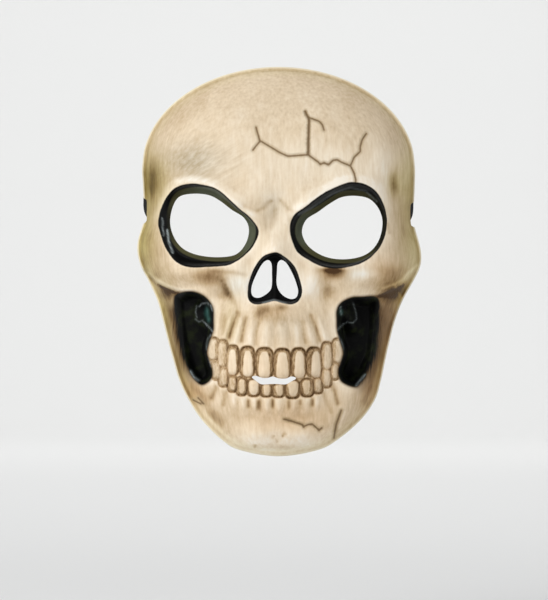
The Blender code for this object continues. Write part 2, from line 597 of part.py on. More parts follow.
def inner_wall(side, depths):
    """For each depth, how far out the elastic can lie before it meets the shell."""
    reach = []
    for depth in depths:
        height = strap_height(SIGN[side] * wall_out(side, depth, NOTCHES[side][0]), depth)
        edges = [strap_across() * STRAP_WIDTH * share for share in (-0.5, 0.0, 0.5)]
        reach.append(min(wall_out(side, depth + edge[1], height + edge[2]) for edge in edges))
    return np.array(reach)


def strap_path():
    """From the left temple round the back of the head to the right one: x, depth, height."""
    cx, cy = HEAD_CENTRE
    ends = {}
    depths = np.linspace(*STRAP_DEPTHS, 7)
    for side, (height, deep) in NOTCHES.items():
        xs = SIGN[side] * (inner_wall(side, depths) - STRAP_GAP - STRAP_THICKNESS / 2)
        edge = LEFT_EDGE if side == "left" else RIGHT_EDGE
        turn_x = np.interp(height, edge[:, 1], edge[:, 0]) - SIGN[side] * (deep + STRAP_TURN[0])
        ends[side] = [*zip(xs, depths), (turn_x, STRAP_TURN[1])]
    angles = np.radians(np.linspace(*STRAP_SWEEP, 61))
    c, s = np.cos(angles), np.sin(angles)
    round_x = cx - HEAD_HALF_WIDTH * np.sign(c) * abs(c) ** (2 / HEAD_POWER)
    round_y = cy + HEAD_HALF_LENGTH * np.sign(s) * abs(s) ** (2 / HEAD_POWER)
    x, depth = np.array(ends["left"] + [*zip(round_x, round_y)] + ends["right"][::-1]).T
    return np.column_stack([x, depth - SEAT_DEPTH, strap_height(x, depth)])


def strap_mesh():
    half = STRAP_THICKNESS / 2
    rim = [(-half, -1), (half, -1), (half, 1), (-half, 1)]
    return sweep(strap_path(), strap_across(), STRAP_WIDTH / 2, rim)


def staple_mesh(side):
    """A wire bridge over the end of the elastic, its legs turned to the shell."""
    sign = SIGN[side]
    across = strap_across()
    wall = sign * inner_wall(side, [STAPLE_DEPTH - 1, STAPLE_DEPTH + 1])
    run = np.array([wall[1] - wall[0], 2.0, 2.0 * STRAP_RISE])
    run = run / np.linalg.norm(run)
    inward = np.cross(run, across) * -sign
    middle = np.array([wall.mean(), STAPLE_DEPTH, strap_height(wall.mean(), STAPLE_DEPTH)])
    middle = middle + inward * (STRAP_GAP + STRAP_THICKNESS + STAPLE_GAP + STAPLE_WIRE / 2)
    corners = [middle + across * up for up in (-STAPLE_WIDTH / 2, STAPLE_WIDTH / 2)]
    ends = []
    for corner in corners:
        length = (wall_out(side, corner[1], corner[2]) - abs(corner[0])) / abs(inward[0])
        ends.append(corner - inward * (length - STAPLE_END_GAP))
    path = np.array([ends[0], *corners, ends[1]]) - (0, SEAT_DEPTH, 0)
    angles = [2 * math.pi * (k + 0.5) / 8 for k in range(8)]
    rim = [(STAPLE_WIRE / 2 * math.cos(a), math.sin(a)) for a in angles]
    return sweep(path, run, STAPLE_WIRE / 2, rim)


def material(name, look):
    colour, roughness, metallic = MATERIALS[look]
    made = bpy.data.materials.new(name)
    made.use_nodes = True
    shader = made.node_tree.nodes["Principled BSDF"]
    shader.inputs["Base Color"].default_value = (*colour, 1.0)
    shader.inputs["Roughness"].default_value = roughness
    shader.inputs["Metallic"].default_value = metallic
    return made


def volume(vertices, faces):
    total = 0.0
    for face in faces:
        first = vertices[face[0]]
        for i in range(1, len(face) - 1):
            total += np.dot(first, np.cross(vertices[face[i]], vertices[face[i + 1]])) / 6
    return total


def add_object(name, mesh_data, look):
    vertices, faces = mesh_data
    if volume(vertices, faces) < 0:
        faces = [tuple(reversed(face)) for face in faces]
    mesh = bpy.data.meshes.new(name)
    mesh.from_pydata(vertices.tolist(), [], faces)
    mesh.materials.append(material(name, look))
    mesh.validate()
    made = bpy.data.objects.new(name, mesh)
    bpy.context.scene.collection.objects.link(made)
    return made


clear_scene()
add_object("mask_shell", shell_mesh(), "mask_shell")
add_object("elastic_strap", strap_mesh(), "elastic_strap")
for side_name in SIGN:
    add_object("staple_" + side_name, staple_mesh(side_name), "staple")
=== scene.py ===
"""A worn skull mask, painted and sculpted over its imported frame.

The tables are in millimetres: x to the viewer's right, z up from the line of the eyes, depth away
from the viewer.
"""

import math

import bpy
import numpy as np
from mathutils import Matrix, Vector
from mathutils.geometry import delaunay_2d_cdt


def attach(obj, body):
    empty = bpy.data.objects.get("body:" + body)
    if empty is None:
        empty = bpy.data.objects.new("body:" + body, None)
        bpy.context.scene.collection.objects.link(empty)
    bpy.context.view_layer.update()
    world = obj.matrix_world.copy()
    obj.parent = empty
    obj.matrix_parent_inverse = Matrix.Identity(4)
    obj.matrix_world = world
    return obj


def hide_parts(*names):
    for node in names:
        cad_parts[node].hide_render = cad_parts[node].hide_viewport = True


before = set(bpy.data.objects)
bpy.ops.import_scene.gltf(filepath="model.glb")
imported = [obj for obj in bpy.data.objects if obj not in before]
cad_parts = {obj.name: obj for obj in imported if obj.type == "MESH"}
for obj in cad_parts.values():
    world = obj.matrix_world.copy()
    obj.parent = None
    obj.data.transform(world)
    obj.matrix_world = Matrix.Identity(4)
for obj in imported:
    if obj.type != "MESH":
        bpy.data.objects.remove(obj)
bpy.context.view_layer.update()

MM = 0.001
WALL = 1.2
LIP = 1.3
SEAT_DEPTH = 2.97

# The photograph: size of its frame, point between the pupils and scale
IMAGE_SIZE = (548, 600)
EYE_MIDDLE = (275, 229)
MM_PER_PIXEL = 0.46
CAMERA_DISTANCE = 3000.0
MATCH_DEPTH = 15.0         # depth at which the scale is exact

# The studio, in metres. The floor's front, the wall behind and the radius between, the wall's height
FLOOR_HEIGHT = -0.19
BACKDROP = (-3.5, 5.2, 0.8)
BACKDROP_TOP, BACKDROP_HALF_WIDTH = 3.2, 4.0
FACE_MIDDLE = (0.0, 0.02, -0.02)
# Lights: name, place, target, size, power
LIGHTS = [
    ("key", (-0.65, -1.25, 0.75), FACE_MIDDLE, (0.7, 0.7), 16),
    ("fill", (0.7, -1.4, -0.5), FACE_MIDDLE, (0.9, 1.0), 6),
    ("left_strip", (-1.0, -0.15, 0.2), FACE_MIDDLE, (0.25, 1.2), 3),
    ("right_strip", (1.0, -0.1, 0.1), FACE_MIDDLE, (0.25, 1.2), 3),
    ("backdrop_light", (0.0, 3.75, 1.7), (0.0, 5.2, 0.1), (2.4, 0.5), 20),
    ("floor_light", (0.0, 2.0, 2.0), (0.0, 2.7, FLOOR_HEIGHT), (2.4, 2.6), 42),
]
WORLD_COLOUR, WORLD_STRENGTH = (0.9, 0.92, 0.95, 1), 0.33

# Notches for the elastic: height, depth of the cut
NOTCHES = {"left": (8.7, 1.5), "right": (6.9, 1.6)}
NOTCH_HALF_HEIGHT = 5.1

EDGE_SPACING = 0.8
# Rings of points beside an edge: distances inside it
RINGS = {
    "rim": (0.65, 1.25, 1.8, 2.4, 3.1), "nose": (-0.5, 0.0, 0.45, 0.9, 1.4),
    "socket": (-0.6, 0.0, 0.5, 1.0, 1.6, 2.2), "hollow": (-0.6, 0.0, 0.6, 1.2, 1.8, 2.4, 3.0),
}
RING_CLEAR, CRACK_CLEAR = 0.4, 0.22         # the lattices keep this far from the rings and cracks
OUTER_MARGIN, INNER_MARGIN = 0.25, 0.5      # and this far from the edges of each face
INNER_SPACING = 1.5
FACE_BOX = (-68, 72, -108, 79)
# Spacing and box of the outer face's mesh: the teeth, the sculpted middle, then the rest
OUTER_LATTICES = [(0.4, (-31.5, 31.5, -79.0, -48.5)), (0.56, (-58.0, 58.0, -84.0, 27.0)),
                  (1.0, FACE_BOX)]

# Cracks and sutures as open lines: x, height
CRACKS = [
    [(-8.7, 46.5), (-7.8, 43.2), (-6.9, 40.2), (-2.3, 37.5), (2.3, 34.7), (6.0, 33.1), (10.6, 33.4),
     (15.2, 33.8), (17.0, 32.4), (19.8, 30.4), (20.7, 29.4), (22.5, 30.1), (24.4, 29.2), (26.7, 31.3),
     (28.5, 31.5), (30.4, 30.4), (34.5, 28.8), (35.4, 27.1), (36.3, 25.3), (37.0, 22.3), (36.8, 20.9)],
    [(-6.9, 40.0), (-8.7, 37.7), (-10.1, 35.9)],
    [(13.8, 53.8), (15.2, 51.1), (15.6, 49.7), (15.4, 43.2), (15.2, 34.0)],
    [(15.2, 51.1), (17.9, 50.1), (20.2, 49.2), (21.6, 47.8), (22.5, 45.1)],
    [(41.9, 43.7), (40.0, 40.9), (39.1, 37.7), (39.1, 35.4), (36.3, 32.7), (35.0, 29.9), (34.5, 28.8)],
    [(4.1, -87.2), (6.9, -87.9), (12.4, -89.7), (13.3, -90.6), (15.2, -89.7), (17.0, -89.5), (18.9, -91.1),
     (20.2, -92.5), (21.6, -91.1)],
    [(12.4, -89.7), (13.1, -91.0)],
    [(30.4, -83.3), (29.4, -86.0), (28.1, -89.7), (27.6, -92.5), (27.1, -96.1)],
    [(-37.7, -78.7), (-35.9, -79.6), (-34.0, -80.5)],
    [(-35.4, -77.7), (-32.7, -80.5)],
]
SUTURES = [CRACKS[2]]
# Small pits: x, height, size
PITS = [(-0.9, -95.2, 0.7), (3.7, -94.8, 0.8), (4.6, -93.8, 0.6), (0.9, -97.1, 0.7), (-9.2, -99.8, 0.8)]
# Furrows with painted shade along them, and one ridge with a painted highlight: line, depth, width, width of
# the paint, change of tone
CREASES = [
    ([(-2.0, 12.7), (-5.1, 9.2), (-8.6, 7.9), (-13.9, 10.1)], 0.45, 1.5, 1.1, -0.15),
    ([(2.8, 12.7), (6.3, 8.7), (9.9, 7.4)], 0.45, 1.5, 1.1, -0.15),
    ([(-24.4, -24.0), (-21.8, -29.5), (-18.4, -34.0), (-16.4, -39.0)], 0.6, 2.2, 1.8, -0.13),
    ([(25.8, -70.8), (27.4, -75.0), (28.8, -80.0)], 0.6, 1.6, 1.2, -0.28),
    ([(22.4, -75.6), (24.0, -80.0), (25.6, -84.0)], 0.4, 1.6, 1.2, -0.12),
    ([(-27.0, -73.0), (-29.0, -77.5)], 0.5, 1.6, 1.2, -0.24),
    ([(-22.6, -75.0), (-23.6, -80.5)], 0.4, 1.5, 1.1, -0.16),
    ([(55.2, -25.8), (56.4, -28.0), (58.9, -32.0)], -0.5, 0.9, 0.7, 0.16),
]
# Furrows, or ridges where the depth is negative: line, depth, width
FURROWS = [row[:3] for row in CREASES] + [
    ([(-17.5, -38.6), (-19.0, -43.0), (-20.8, -50.0)], 0.6, 1.9),
    ([(-13.4, -41.0), (-14.6, -46.0), (-15.4, -51.5)], 0.5, 1.7),
    ([(-7.8, -43.5), (-8.4, -47.5), (-8.7, -53.0)], 0.4, 1.6),
    ([(12.9, -42.8), (13.8, -47.5), (14.3, -52.0)], 0.4, 1.6),
    ([(16.6, -40.0), (18.8, -46.0), (20.4, -51.5)], 0.6, 1.9),
    ([(-44.7, 21.5), (-38.5, 22.8), (-31.5, 21.5), (-24.5, 16.2), (-17.4, 10.1)], -0.5, 1.8),
    ([(10.8, 8.3), (17.8, 11.8), (24.8, 17.1), (31.0, 21.5)], -0.5, 1.8),
    ([(-58.7, -20.6), (-54.5, -23.8), (-50.3, -26.2), (-45.6, -28.1)], -0.5, 0.9),
    ([(66.2, -16.7), (61.8, -20.4), (58.9, -23.7), (55.2, -25.8), (49.5, -27.8)], -0.5, 0.9),
]
# Low waves of the face: height, size, seed
UNEVEN = [(0.16, 13, 3), (0.09, 5, 4), (0.03, 2, 5)]
WAVES = 7                  # waves that make up an unevenness
# Section of a crack: depth, distance from its line, width
CRACK_SECTION = [(0.42, 0.0, 0.42), (-0.12, 1.0, 0.5)]
SUTURE_DEPTH, SUTURE_WIDTH = 0.22, 0.9
PIT_DEPTH = 0.4
ROOT_MARK_DEPTH = 0.05
GLOSS_RISE, GLOSS_REACH = 0.5, 2.0
# Short marks between the roots under the lower teeth: x, upper end, lower end, half width, strength
ROOT_MARKS = [(-12.2, -78.5, -81.8, 1.0, 1.1), (-7.6, -78.6, -82.6, 1.1, 1.5), (-1.0, -78.0, -81.6, 0.9, 1.2),
              (6.4, -78.0, -82.2, 0.9, 1.2), (11.6, -78.6, -80.4, 0.9, 0.7), (17.2, -78.0, -81.2, 1.0, 1.1)]
# Painted highlights, standing for reflections, on the glossy edges in the black recesses, which are raised a
# little too: line, width, how bright
GLOSS_HIGHLIGHT_LINES = [
    ([(-51.9, 5.0), (-51.8, 1.0), (-51.2, -3.0)], 0.3, 0.6),
    ([(-49.6, -0.5), (-48.9, -5.5), (-47.0, -10.8)], 0.4, 1.0),
    ([(-35.0, -35.7), (-33.6, -34.3), (-31.3, -34.0), (-29.4, -35.4), (-28.6, -37.7)], 0.26, 0.6),
    ([(-36.1, -35.4), (-36.6, -38.2), (-35.9, -40.9)], 0.26, 0.3),
    ([(-36.8, -41.4), (-35.0, -42.8), (-33.1, -41.9)], 0.26, 0.35),
    ([(-32.9, -42.6), (-30.2, -45.3), (-27.9, -47.9)], 0.26, 0.7),
    ([(-29.4, -48.6), (-30.8, -50.4), (-31.5, -53.4), (-31.3, -55.7)], 0.3, 0.4),
    ([(-30.2, -59.3), (-29.2, -63.0)], 0.35, 0.45),
    ([(-38.8, -65.4), (-37.2, -68.1), (-35.0, -69.6)], 0.5, 0.8),
    ([(30.2, -35.6), (30.0, -37.6), (30.6, -39.4)], 0.28, 0.6),
    ([(36.0, -34.0), (37.4, -38.5), (37.6, -41.4), (36.0, -43.2), (33.0, -42.8)], 0.26, 0.35),
    ([(33.0, -42.8), (30.3, -44.8), (28.4, -46.6)], 0.26, 0.6),
    ([(28.9, -49.2), (30.6, -51.8), (31.4, -55.4)], 0.3, 0.45),
    ([(41.4, -67.0), (38.8, -70.0), (37.2, -72.0)], 0.4, 0.5),
    ([(10.8, 6.5), (17.8, 10.1), (26.6, 16.2), (34.5, 18.9), (41.5, 17.5), (46.8, 12.7)], 0.4, 0.3),
    ([(-5.5, -34.0), (-0.5, -32.6), (5.1, -34.4)], 0.4, 0.6),
]

# Painted highlights on the lit faces of the teeth: middle, half width, upper end, lower end, how light
LIT_TOOTH_FACES = {
    "upper": [
        (-28.9, 1.3, -50.6, -59.3, 0.6), (-24.9, 0.9, -52.6, -62.1, 0.55), (-19.5, 1.7, -55.5, -66.7, 1.0),
        (-12.4, 2.0, -55.9, -67.5, 1.0), (-4.9, 2.45, -56.3, -68.4, 1.0), (3.4, 2.55, -56.7, -68.8, 1.0),
        (11.2, 2.15, -56.1, -68.3, 1.0), (18.8, 1.95, -56.3, -67.9, 1.0), (24.0, 1.4, -53.5, -64.1, 0.65),
        (29.3, 1.4, -51.6, -61.2, 0.65),
    ],
    "lower": [
        (-27.6, 0.9, -61.5, -67.8, 0.35), (-23.4, 1.1, -64.6, -71.0, 0.4), (-19.6, 1.1, -68.3, -73.6, 0.45),
        (-15.2, 1.2, -69.2, -75.0, 0.7), (-9.8, 1.95, -69.4, -75.9, 0.9), (-3.7, 1.3, -71.3, -76.2, 0.8),
        (2.0, 1.5, -71.6, -76.2, 0.8), (8.3, 2.0, -69.8, -76.6, 0.9), (14.4, 1.45, -69.4, -75.7, 0.7),
        (19.6, 1.1, -68.9, -74.7, 0.5), (23.9, 1.2, -65.0, -71.6, 0.45), (27.8, 0.9, -62.3, -68.4, 0.4),
    ],
}
FACE_TAPER = {"upper": 0.2, "lower": -0.16}         # the faces narrow towards the gum

# Soft spots of painted light and painted shade, and of the paint's own lighter or darker tone: x, height,
# half width, half height, change of tone
SHADE_AND_TONE_SPOTS = [
    (3.0, 31.0, 28.0, 13.0, 0.11), (34.0, 28.0, 18.0, 10.0, 0.12), (-37.0, 32.0, 15.0, 9.0, -0.17),
    (-47.0, 27.0, 9.0, 8.0, -0.08), (52.5, 30.0, 8.0, 12.0, 0.08), (-58.0, 22.0, 6.0, 12.0, -0.32),
    (1.0, 9.5, 6.5, 9.0, 0.06), (-6.2, 2.5, 2.2, 6.0, -0.12), (7.4, 2.5, 2.0, 6.0, -0.14),
    (0.5, -3.5, 3.0, 6.0, 0.10), (54.8, 21.0, 2.6, 5.5, -0.15), (50.3, 18.0, 2.2, 9.0, 0.08),
    (62.0, 10.0, 5.0, 20.0, -0.20), (62.0, -10.0, 8.0, 14.0, -0.06), (-60.5, -8.0, 5.0, 18.0, -0.24),
    (-53.0, -10.0, 5.0, 10.0, -0.06), (-46.0, -22.0, 9.0, 5.0, -0.18), (-30.5, -21.8, 7.5, 4.0, -0.50),
    (-55.5, -21.5, 2.8, 2.4, -0.26), (-18.0, -25.5, 5.0, 5.0, 0.06), (17.5, -26.0, 5.0, 6.0, 0.26),
    (-23.5, -45.0, 4.5, 9.0, -0.24), (-1.4, -45.0, 14.0, 8.0, -0.03),
    (-5.2, -36.6, 3.4, 2.2, -0.40), (-7.4, -39.3, 2.4, 2.4, -0.26), (26.0, -18.9, 5.0, 1.3, -0.90),
    (2.9, -36.0, 2.8, 1.5, -0.40), (-1.0, -39.5, 8.0, 4.0, -0.22), (27.5, -20.6, 6.0, 2.4, -0.62),
    (22.5, -24.5, 4.0, 4.0, -0.16), (39.0, -21.0, 6.5, 2.4, 0.24), (52.0, -22.0, 10.0, 6.0, -0.36),
    (1.0, -85.5, 17.0, 4.5, -0.07), (0.0, -99.5, 25.0, 6.0, 0.30), (-38.0, -75.0, 5.0, 6.0, -0.36),
    (44.0, -74.0, 6.5, 14.0, -0.18), (-45.0, -64.0, 5.0, 14.0, -0.34), (-50.0, -42.0, 3.5, 12.0, -0.26),
    (53.0, -44.0, 5.0, 16.0, -0.46), (48.0, -60.0, 4.0, 14.0, -0.20), (55.5, -28.8, 7.0, 3.6, -0.50),
    (-50.5, -29.6, 4.5, 3.2, -0.24), (42.0, -33.0, 9.0, 2.0, -0.25), (-38.0, -30.6, 9.0, 1.8, -0.2),
    (-19.0, -86.0, 6.0, 5.0, -0.06), (24.0, -88.0, 8.0, 6.0, -0.05),
]
# Painted highlights along brows and ridges and painted shade along creases and furrows, with darker paint and
# a pale edge along two cracks: line, width, change of tone
HIGHLIGHT_AND_SHADE_LINES = [(row[0], *row[3:]) for row in CREASES] + [
    ([(-44.7, 21.8), (-38.5, 23.0), (-31.5, 21.9), (-24.5, 16.6), (-17.4, 10.6), (-10.4, 6.8)], 1.5, 0.15),
    ([(8.0, 7.9), (13.0, 10.6), (17.8, 13.4), (24.8, 18.4), (31.0, 22.6)], 1.9, 0.17),
    ([(-58.7, -20.3), (-54.5, -23.4), (-50.3, -25.8), (-45.6, -27.6), (-38.0, -28.3)], 0.8, 0.16),
    ([(66.2, -16.4), (61.8, -20.0), (58.9, -23.3), (55.2, -25.4), (49.5, -27.2)], 0.7, 0.18),
    ([(-29.0, -19.4), (-19.3, -19.9), (-13.3, -21.3)], 1.1, -0.18),
    ([(-17.3, -39.0), (-19.0, -43.0), (-20.6, -48.5)], 1.5, -0.20),
    ([(-13.4, -41.0), (-14.6, -46.0), (-15.2, -50.5)], 1.4, -0.18),
    ([(-7.8, -43.5), (-8.4, -47.5), (-8.7, -52.0)], 1.2, -0.08),
    ([(12.9, -42.8), (13.8, -47.5), (14.2, -51.0)], 1.2, -0.10),
    ([(16.6, -40.0), (18.8, -46.0), (20.4, -51.0)], 1.4, -0.15),
    ([(-28.0, -30.0), (-25.5, -38.0), (-26.4, -46.5)], 1.0, 0.08),
    ([(46.0, -63.0), (44.0, -72.0), (41.0, -80.0)], 1.5, -0.12),
    ([(4.8, -87.2), (8.5, -88.3), (12.8, -89.7)], 0.6, -0.35),
    ([(30.4, -83.3), (29.4, -86.0), (28.1, -89.7), (27.6, -92.5)], 0.9, -0.30),
    ([(32.0, -84.0), (30.9, -87.0), (29.6, -91.0)], 0.6, 0.12),
    ([(51.6, 2.5), (52.6, -1.8)], 0.7, -0.22),
]

# Where the paint differs, in soft spots: x, height, half width, half height, strength. Olive, cool and warm
# tint the bone, the ledge is wide or black, teal is a painted highlight on the black, and strokes are slanted
HUES = {
    "olive": [
        (-57.0, 22.0, 7.0, 11.0, 0.9), (-61.0, -6.0, 5.5, 22.0, 0.85), (-52.0, -44.0, 5.0, 18.0, 0.75),
        (-45.0, -68.0, 6.0, 14.0, 0.55), (64.0, -6.0, 6.0, 20.0, 0.55), (61.0, 22.0, 5.0, 14.0, 0.5),
        (58.0, -29.0, 7.0, 6.0, 0.85), (50.0, -66.0, 5.0, 14.0, 0.35),
        (-20.0, -43.0, 4.0, 9.0, 0.2), (54.8, 21.0, 3.0, 5.0, 0.5),
    ],
    "cool": [(-18.0, -25.5, 6.0, 6.0, 1.0), (-38.0, 31.0, 14.0, 9.0, 1.0), (0.0, 10.0, 6.0, 8.0, 0.5),
             (38.0, -21.0, 8.0, 3.0, 0.7),
             (4.0, -45.0, 8.0, 6.0, 0.3), (-30.0, -66.0, 5.0, 10.0, 0.3)],
    "warm": [(6.0, -87.0, 20.0, 8.0, 0.8), (46.0, -72.0, 7.0, 14.0, 1.0), (-38.0, -76.0, 8.0, 9.0, 0.8),
             (0.0, -65.0, 34.0, 13.0, 0.5), (-29.0, -22.0, 8.0, 5.0, 0.5), (50.0, -20.0, 9.0, 7.0, 0.6),
             (27.0, -20.0, 7.0, 4.0, 0.6), (52.0, -50.0, 6.0, 22.0, 0.8), (58.0, -29.0, 6.0, 5.0, 1.0),
             (0.0, -38.0, 9.0, 5.0, 0.4)],
    "wide_ledge": [(-14.0, -2.0, 9.0, 11.0, 1.0), (14.0, 0.0, 9.0, 10.0, 1.0), (-28.0, 17.0, 16.0, 5.0, 0.9),
                   (34.0, 18.0, 12.0, 4.0, 0.35)],
    "black_ledge": [(48.0, 4.0, 5.0, 20.0, 1.0), (-50.5, 2.0, 4.5, 15.0, 1.0)],
    "teal_highlight": [(-31.4, -38.6, 0.9, 2.2, 1.0), (-30.4, -41.6, 0.8, 1.4, 0.6), (30.4, -38.2, 0.7, 1.3, 0.7)],
    "slant": [(-32.0, 32.0, 22.0, 16.0, 1.0), (-46.0, -20.0, 14.0, 7.0, 0.5)],
}

# Tone of the plain bone, and the painted shade and painted highlights that follow the relief and the teeth
BASE_TONE = 0.70
# Painted shade in the grooves between the teeth and along the gum, painted highlights on the lit tooth faces
# and the thin ridges
GROOVE_SHADE_TONE, LIT_FACE_TONE, GUM_SHADE_TONE = 0.25, 0.80, 0.04
GUM_SHARE, RIDGE_LIGHT = 0.75, 0.14
SIDE_TOOTH_TONE = 0.16
SIDE_TEETH = (18, 25)                       # distances from the middle where the grooves turn lighter
# Painted shade in the pits and in the marks between the roots; painted highlight on the root ridges and
# painted shade over the fluted bone
PIT_SHADE, ROOT_MARK_SHADE = 0.35, 0.34
ROOT_LIGHT, ROOT_SHADE = 0.16, 0.08
# Painted shadow: a thin dark line inside the rim
LIP_SHADE, LIP_PLACE, LIP_WIDTH = -0.16, 1.5, 0.8    # thin dark line inside the rim
# Painted shade in hollows and on steep slopes, and painted highlights on ridges: which form, sign, from, to,
# change of tone
FORM_SHADES = [
    ("wide", 1, 0.1, 2.0, -0.34), ("wide", -1, 0.1, 1.3, 0.10),
    ("fine", 1, 0.05, 0.40, -0.35), ("fine", -1, 0.05, 0.25, 0.06), ("steep", 1, 0.9, 2.4, -0.10),
]
NARROW_LEDGE, WIDE_LEDGE = 1.9, 3.7
SOFT_FROM, SOFT_BELOW = (34, 44), (-38, -32)         # where the black of a cheek hollow ends softly
STROKES, SLANTED_STROKES = 0.40, 0.22       # strength of the brush strokes in the tone
MOTTLE = 0.8                                # strength of the mottling beside the teeth

# Colours, linear. Bone from the darkest wash to the palest brush: tone, colour
BONE_RAMP = [
    (0.0, (0.075, 0.040, 0.018)), (0.22, (0.26, 0.165, 0.080)), (0.45, (0.50, 0.365, 0.215)),
    (0.70, (0.72, 0.585, 0.415)), (0.86, (0.83, 0.715, 0.555)), (1.0, (0.90, 0.82, 0.70)),
]
OLIVE_TINT = (0.86, 0.94, 0.62)
COOL_TINT = (0.90, 1.0, 1.14)
WARM_TINT = (1.04, 0.94, 0.84)
CRACK_WASH = (0.42, 0.31, 0.18)
CRACK_BROWN = (0.17, 0.108, 0.055)
EDGE_PALE = (0.80, 0.72, 0.54)
BLACK = (0.004, 0.004, 0.004)
BLACK_GREEN = (0.012, 0.015, 0.006)
HOLLOW_BROWN = (0.105, 0.052, 0.016)
LEDGE_GREEN = (0.105, 0.115, 0.075)
LEDGE_OLIVE = (0.075, 0.070, 0.030)
# Colours of painted highlights on the glossy black: teal facets and pale sheen lines
TEAL_HIGHLIGHT = (0.05, 0.13, 0.115)
SHEEN_HIGHLIGHT = (0.30, 0.34, 0.34)
INNER_IVORY = (0.66, 0.60, 0.47)
KNIT_DARK, KNIT_PALE = (0.002, 0.002, 0.002), (0.010, 0.010, 0.011)
WIRE_BRIGHT, WIRE_DULL = (0.62, 0.62, 0.6), (0.4, 0.39, 0.37)
FLOOR_COLOUR = (0.78, 0.78, 0.77)

RIB = 0.9                  # ribs of the knitted elastic

# Side edges of the mask: height, left edge, right edge
EDGES = [
    (29.0, -61.6, 64.9), (22.5, -61.4, 64.9), (13.8, -61.0, 64.6), (8.0, -61.0, 64.4),
    (3.2, -61.2, 64.6), (-0.5, -62.3, 65.3), (-5.0, -63.6, 66.6), (-9.7, -63.9, 67.7),
    (-14.3, -63.1, 67.9), (-18.9, -61.4, 66.8), (-23.5, -58.9, 64.5), (-32.7, -54.7, 59.4),
    (-41.9, -52.0, 55.8), (-51.1, -49.6, 53.3), (-60.3, -47.0, 51.1), (-69.5, -44.2, 49.1),
    (-78.7, -39.8, 46.2), (-87.9, -33.6, 39.6), (-97.1, -24.2, 28.6), (-101.7, -15.8, 19.4),
]
CHIN = (1.8, -104.4)
CROWN_CENTRE = (1.65, 29.0)
CROWN_HALF_WIDTH = 63.25
CROWN_RISE = 46.0
CROWN_RIM_DEPTH = 30.0
CROWN_POWER = 2.6          # the crown rolls back more softly than the sides

# Fall from the middle to the rim: height, depth of the middle, depth of the rim
PROFILE = [
    (29.0, 0.5, 43.0), (12.0, 0.0, 45.5), (0.0, 2.8, 47.0), (-12.0, 4.5, 48.5), (-25.0, 5.0, 48.0),
    (-42.0, 4.5, 45.0), (-60.0, 3.5, 41.0), (-70.0, 3.0, 38.0), (-79.0, 3.0, 34.0), (-88.0, 3.0, 28.0),
    (-96.0, 5.5, 22.0), (-101.0, 10.0, 18.5), (-103.4, 16.4, 17.2), (-104.4, 17.0, 17.0),
]
SHOULDER = 0.6             # share of the fall that is kept for the steep sides
SHOULDER_POWER = 8

# Points of each edge in turn: x, height
SOCKETS = {
    "left": [(-53.8, 4.1), (-50.6, 13.6), (-45.5, 18.9), (-39.1, 20.6), (-31.7, 19.8), (-25.3, 17.3),
             (-17.0, 9.7), (-11.0, 4.6), (-7.5, -0.9), (-9.7, -7.4), (-15.2, -13.3), (-21.6, -16.7),
             (-30.8, -17.5), (-39.1, -17.6), (-45.5, -15.0), (-50.1, -9.2), (-52.7, -2.3)],
    "right": [(6.9, -1.4), (8.3, 5.5), (13.8, 9.9), (20.7, 15.2), (28.1, 19.1), (35.0, 21.2),
              (41.4, 20.2), (46.5, 17.0), (50.1, 10.6), (51.5, 3.2), (49.9, -5.1), (45.5, -11.7),
              (39.1, -15.8), (30.8, -18.1), (22.5, -17.5), (15.2, -14.3), (9.7, -9.9)],
}
EYE_HOLES = {
    "left": [(-48.3, 3.2), (-46.9, 10.6), (-43.7, 15.0), (-37.3, 16.2), (-30.4, 15.5), (-25.3, 12.9),
             (-19.8, 8.7), (-14.3, 5.1), (-12.0, 0.0), (-13.3, -6.4), (-17.9, -11.7), (-26.2, -13.0),
             (-35.4, -12.0), (-42.3, -9.0), (-46.5, -3.7)],
    "right": [(12.4, -1.8), (14.3, 4.1), (19.8, 7.8), (25.3, 11.7), (30.8, 14.6), (37.3, 15.2),
              (43.5, 13.8), (47.8, 9.2), (49.5, 2.8), (47.8, -5.1), (43.5, -10.6), (37.3, -13.3),
              (29.0, -13.9), (21.6, -12.2), (15.2, -7.8)],
}
NOSE = [(-0.5, -11.0), (-6.0, -13.3), (-9.9, -19.3), (-12.0, -25.3), (-12.4, -29.9), (-11.5, -33.1),
        (-8.7, -34.5), (-4.6, -34.0), (-0.2, -32.9), (3.7, -34.0), (7.4, -34.5), (10.6, -33.1),
        (12.4, -29.0), (11.5, -24.4), (9.2, -17.9), (5.5, -13.8), (2.3, -11.7)]
NOSTRILS = {
    "left": [(-3.2, -14.3), (-1.6, -16.1), (-1.4, -20.7), (-1.4, -25.3), (-2.1, -28.1), (-4.6, -30.4),
             (-7.8, -31.7), (-10.4, -30.6), (-10.8, -27.1), (-9.2, -22.3), (-6.0, -16.3)],
    "right": [(2.8, -14.3), (1.2, -15.9), (0.9, -19.8), (0.7, -24.4), (1.4, -27.6), (3.7, -30.6),
              (7.1, -32.2), (9.7, -31.5), (10.6, -28.5), (9.4, -23.9), (7.4, -19.3), (5.1, -15.6)],
}
MOUTH = [(-10.6, -67.9), (-8.7, -67.3), (-6.0, -68.2), (-3.2, -68.2), (-0.9, -67.6), (1.8, -68.5),
         (5.1, -68.5), (7.4, -67.6), (9.7, -68.4), (7.4, -69.9), (4.8, -71.2), (-0.5, -71.0),
         (-6.0, -71.2), (-8.3, -69.9)]
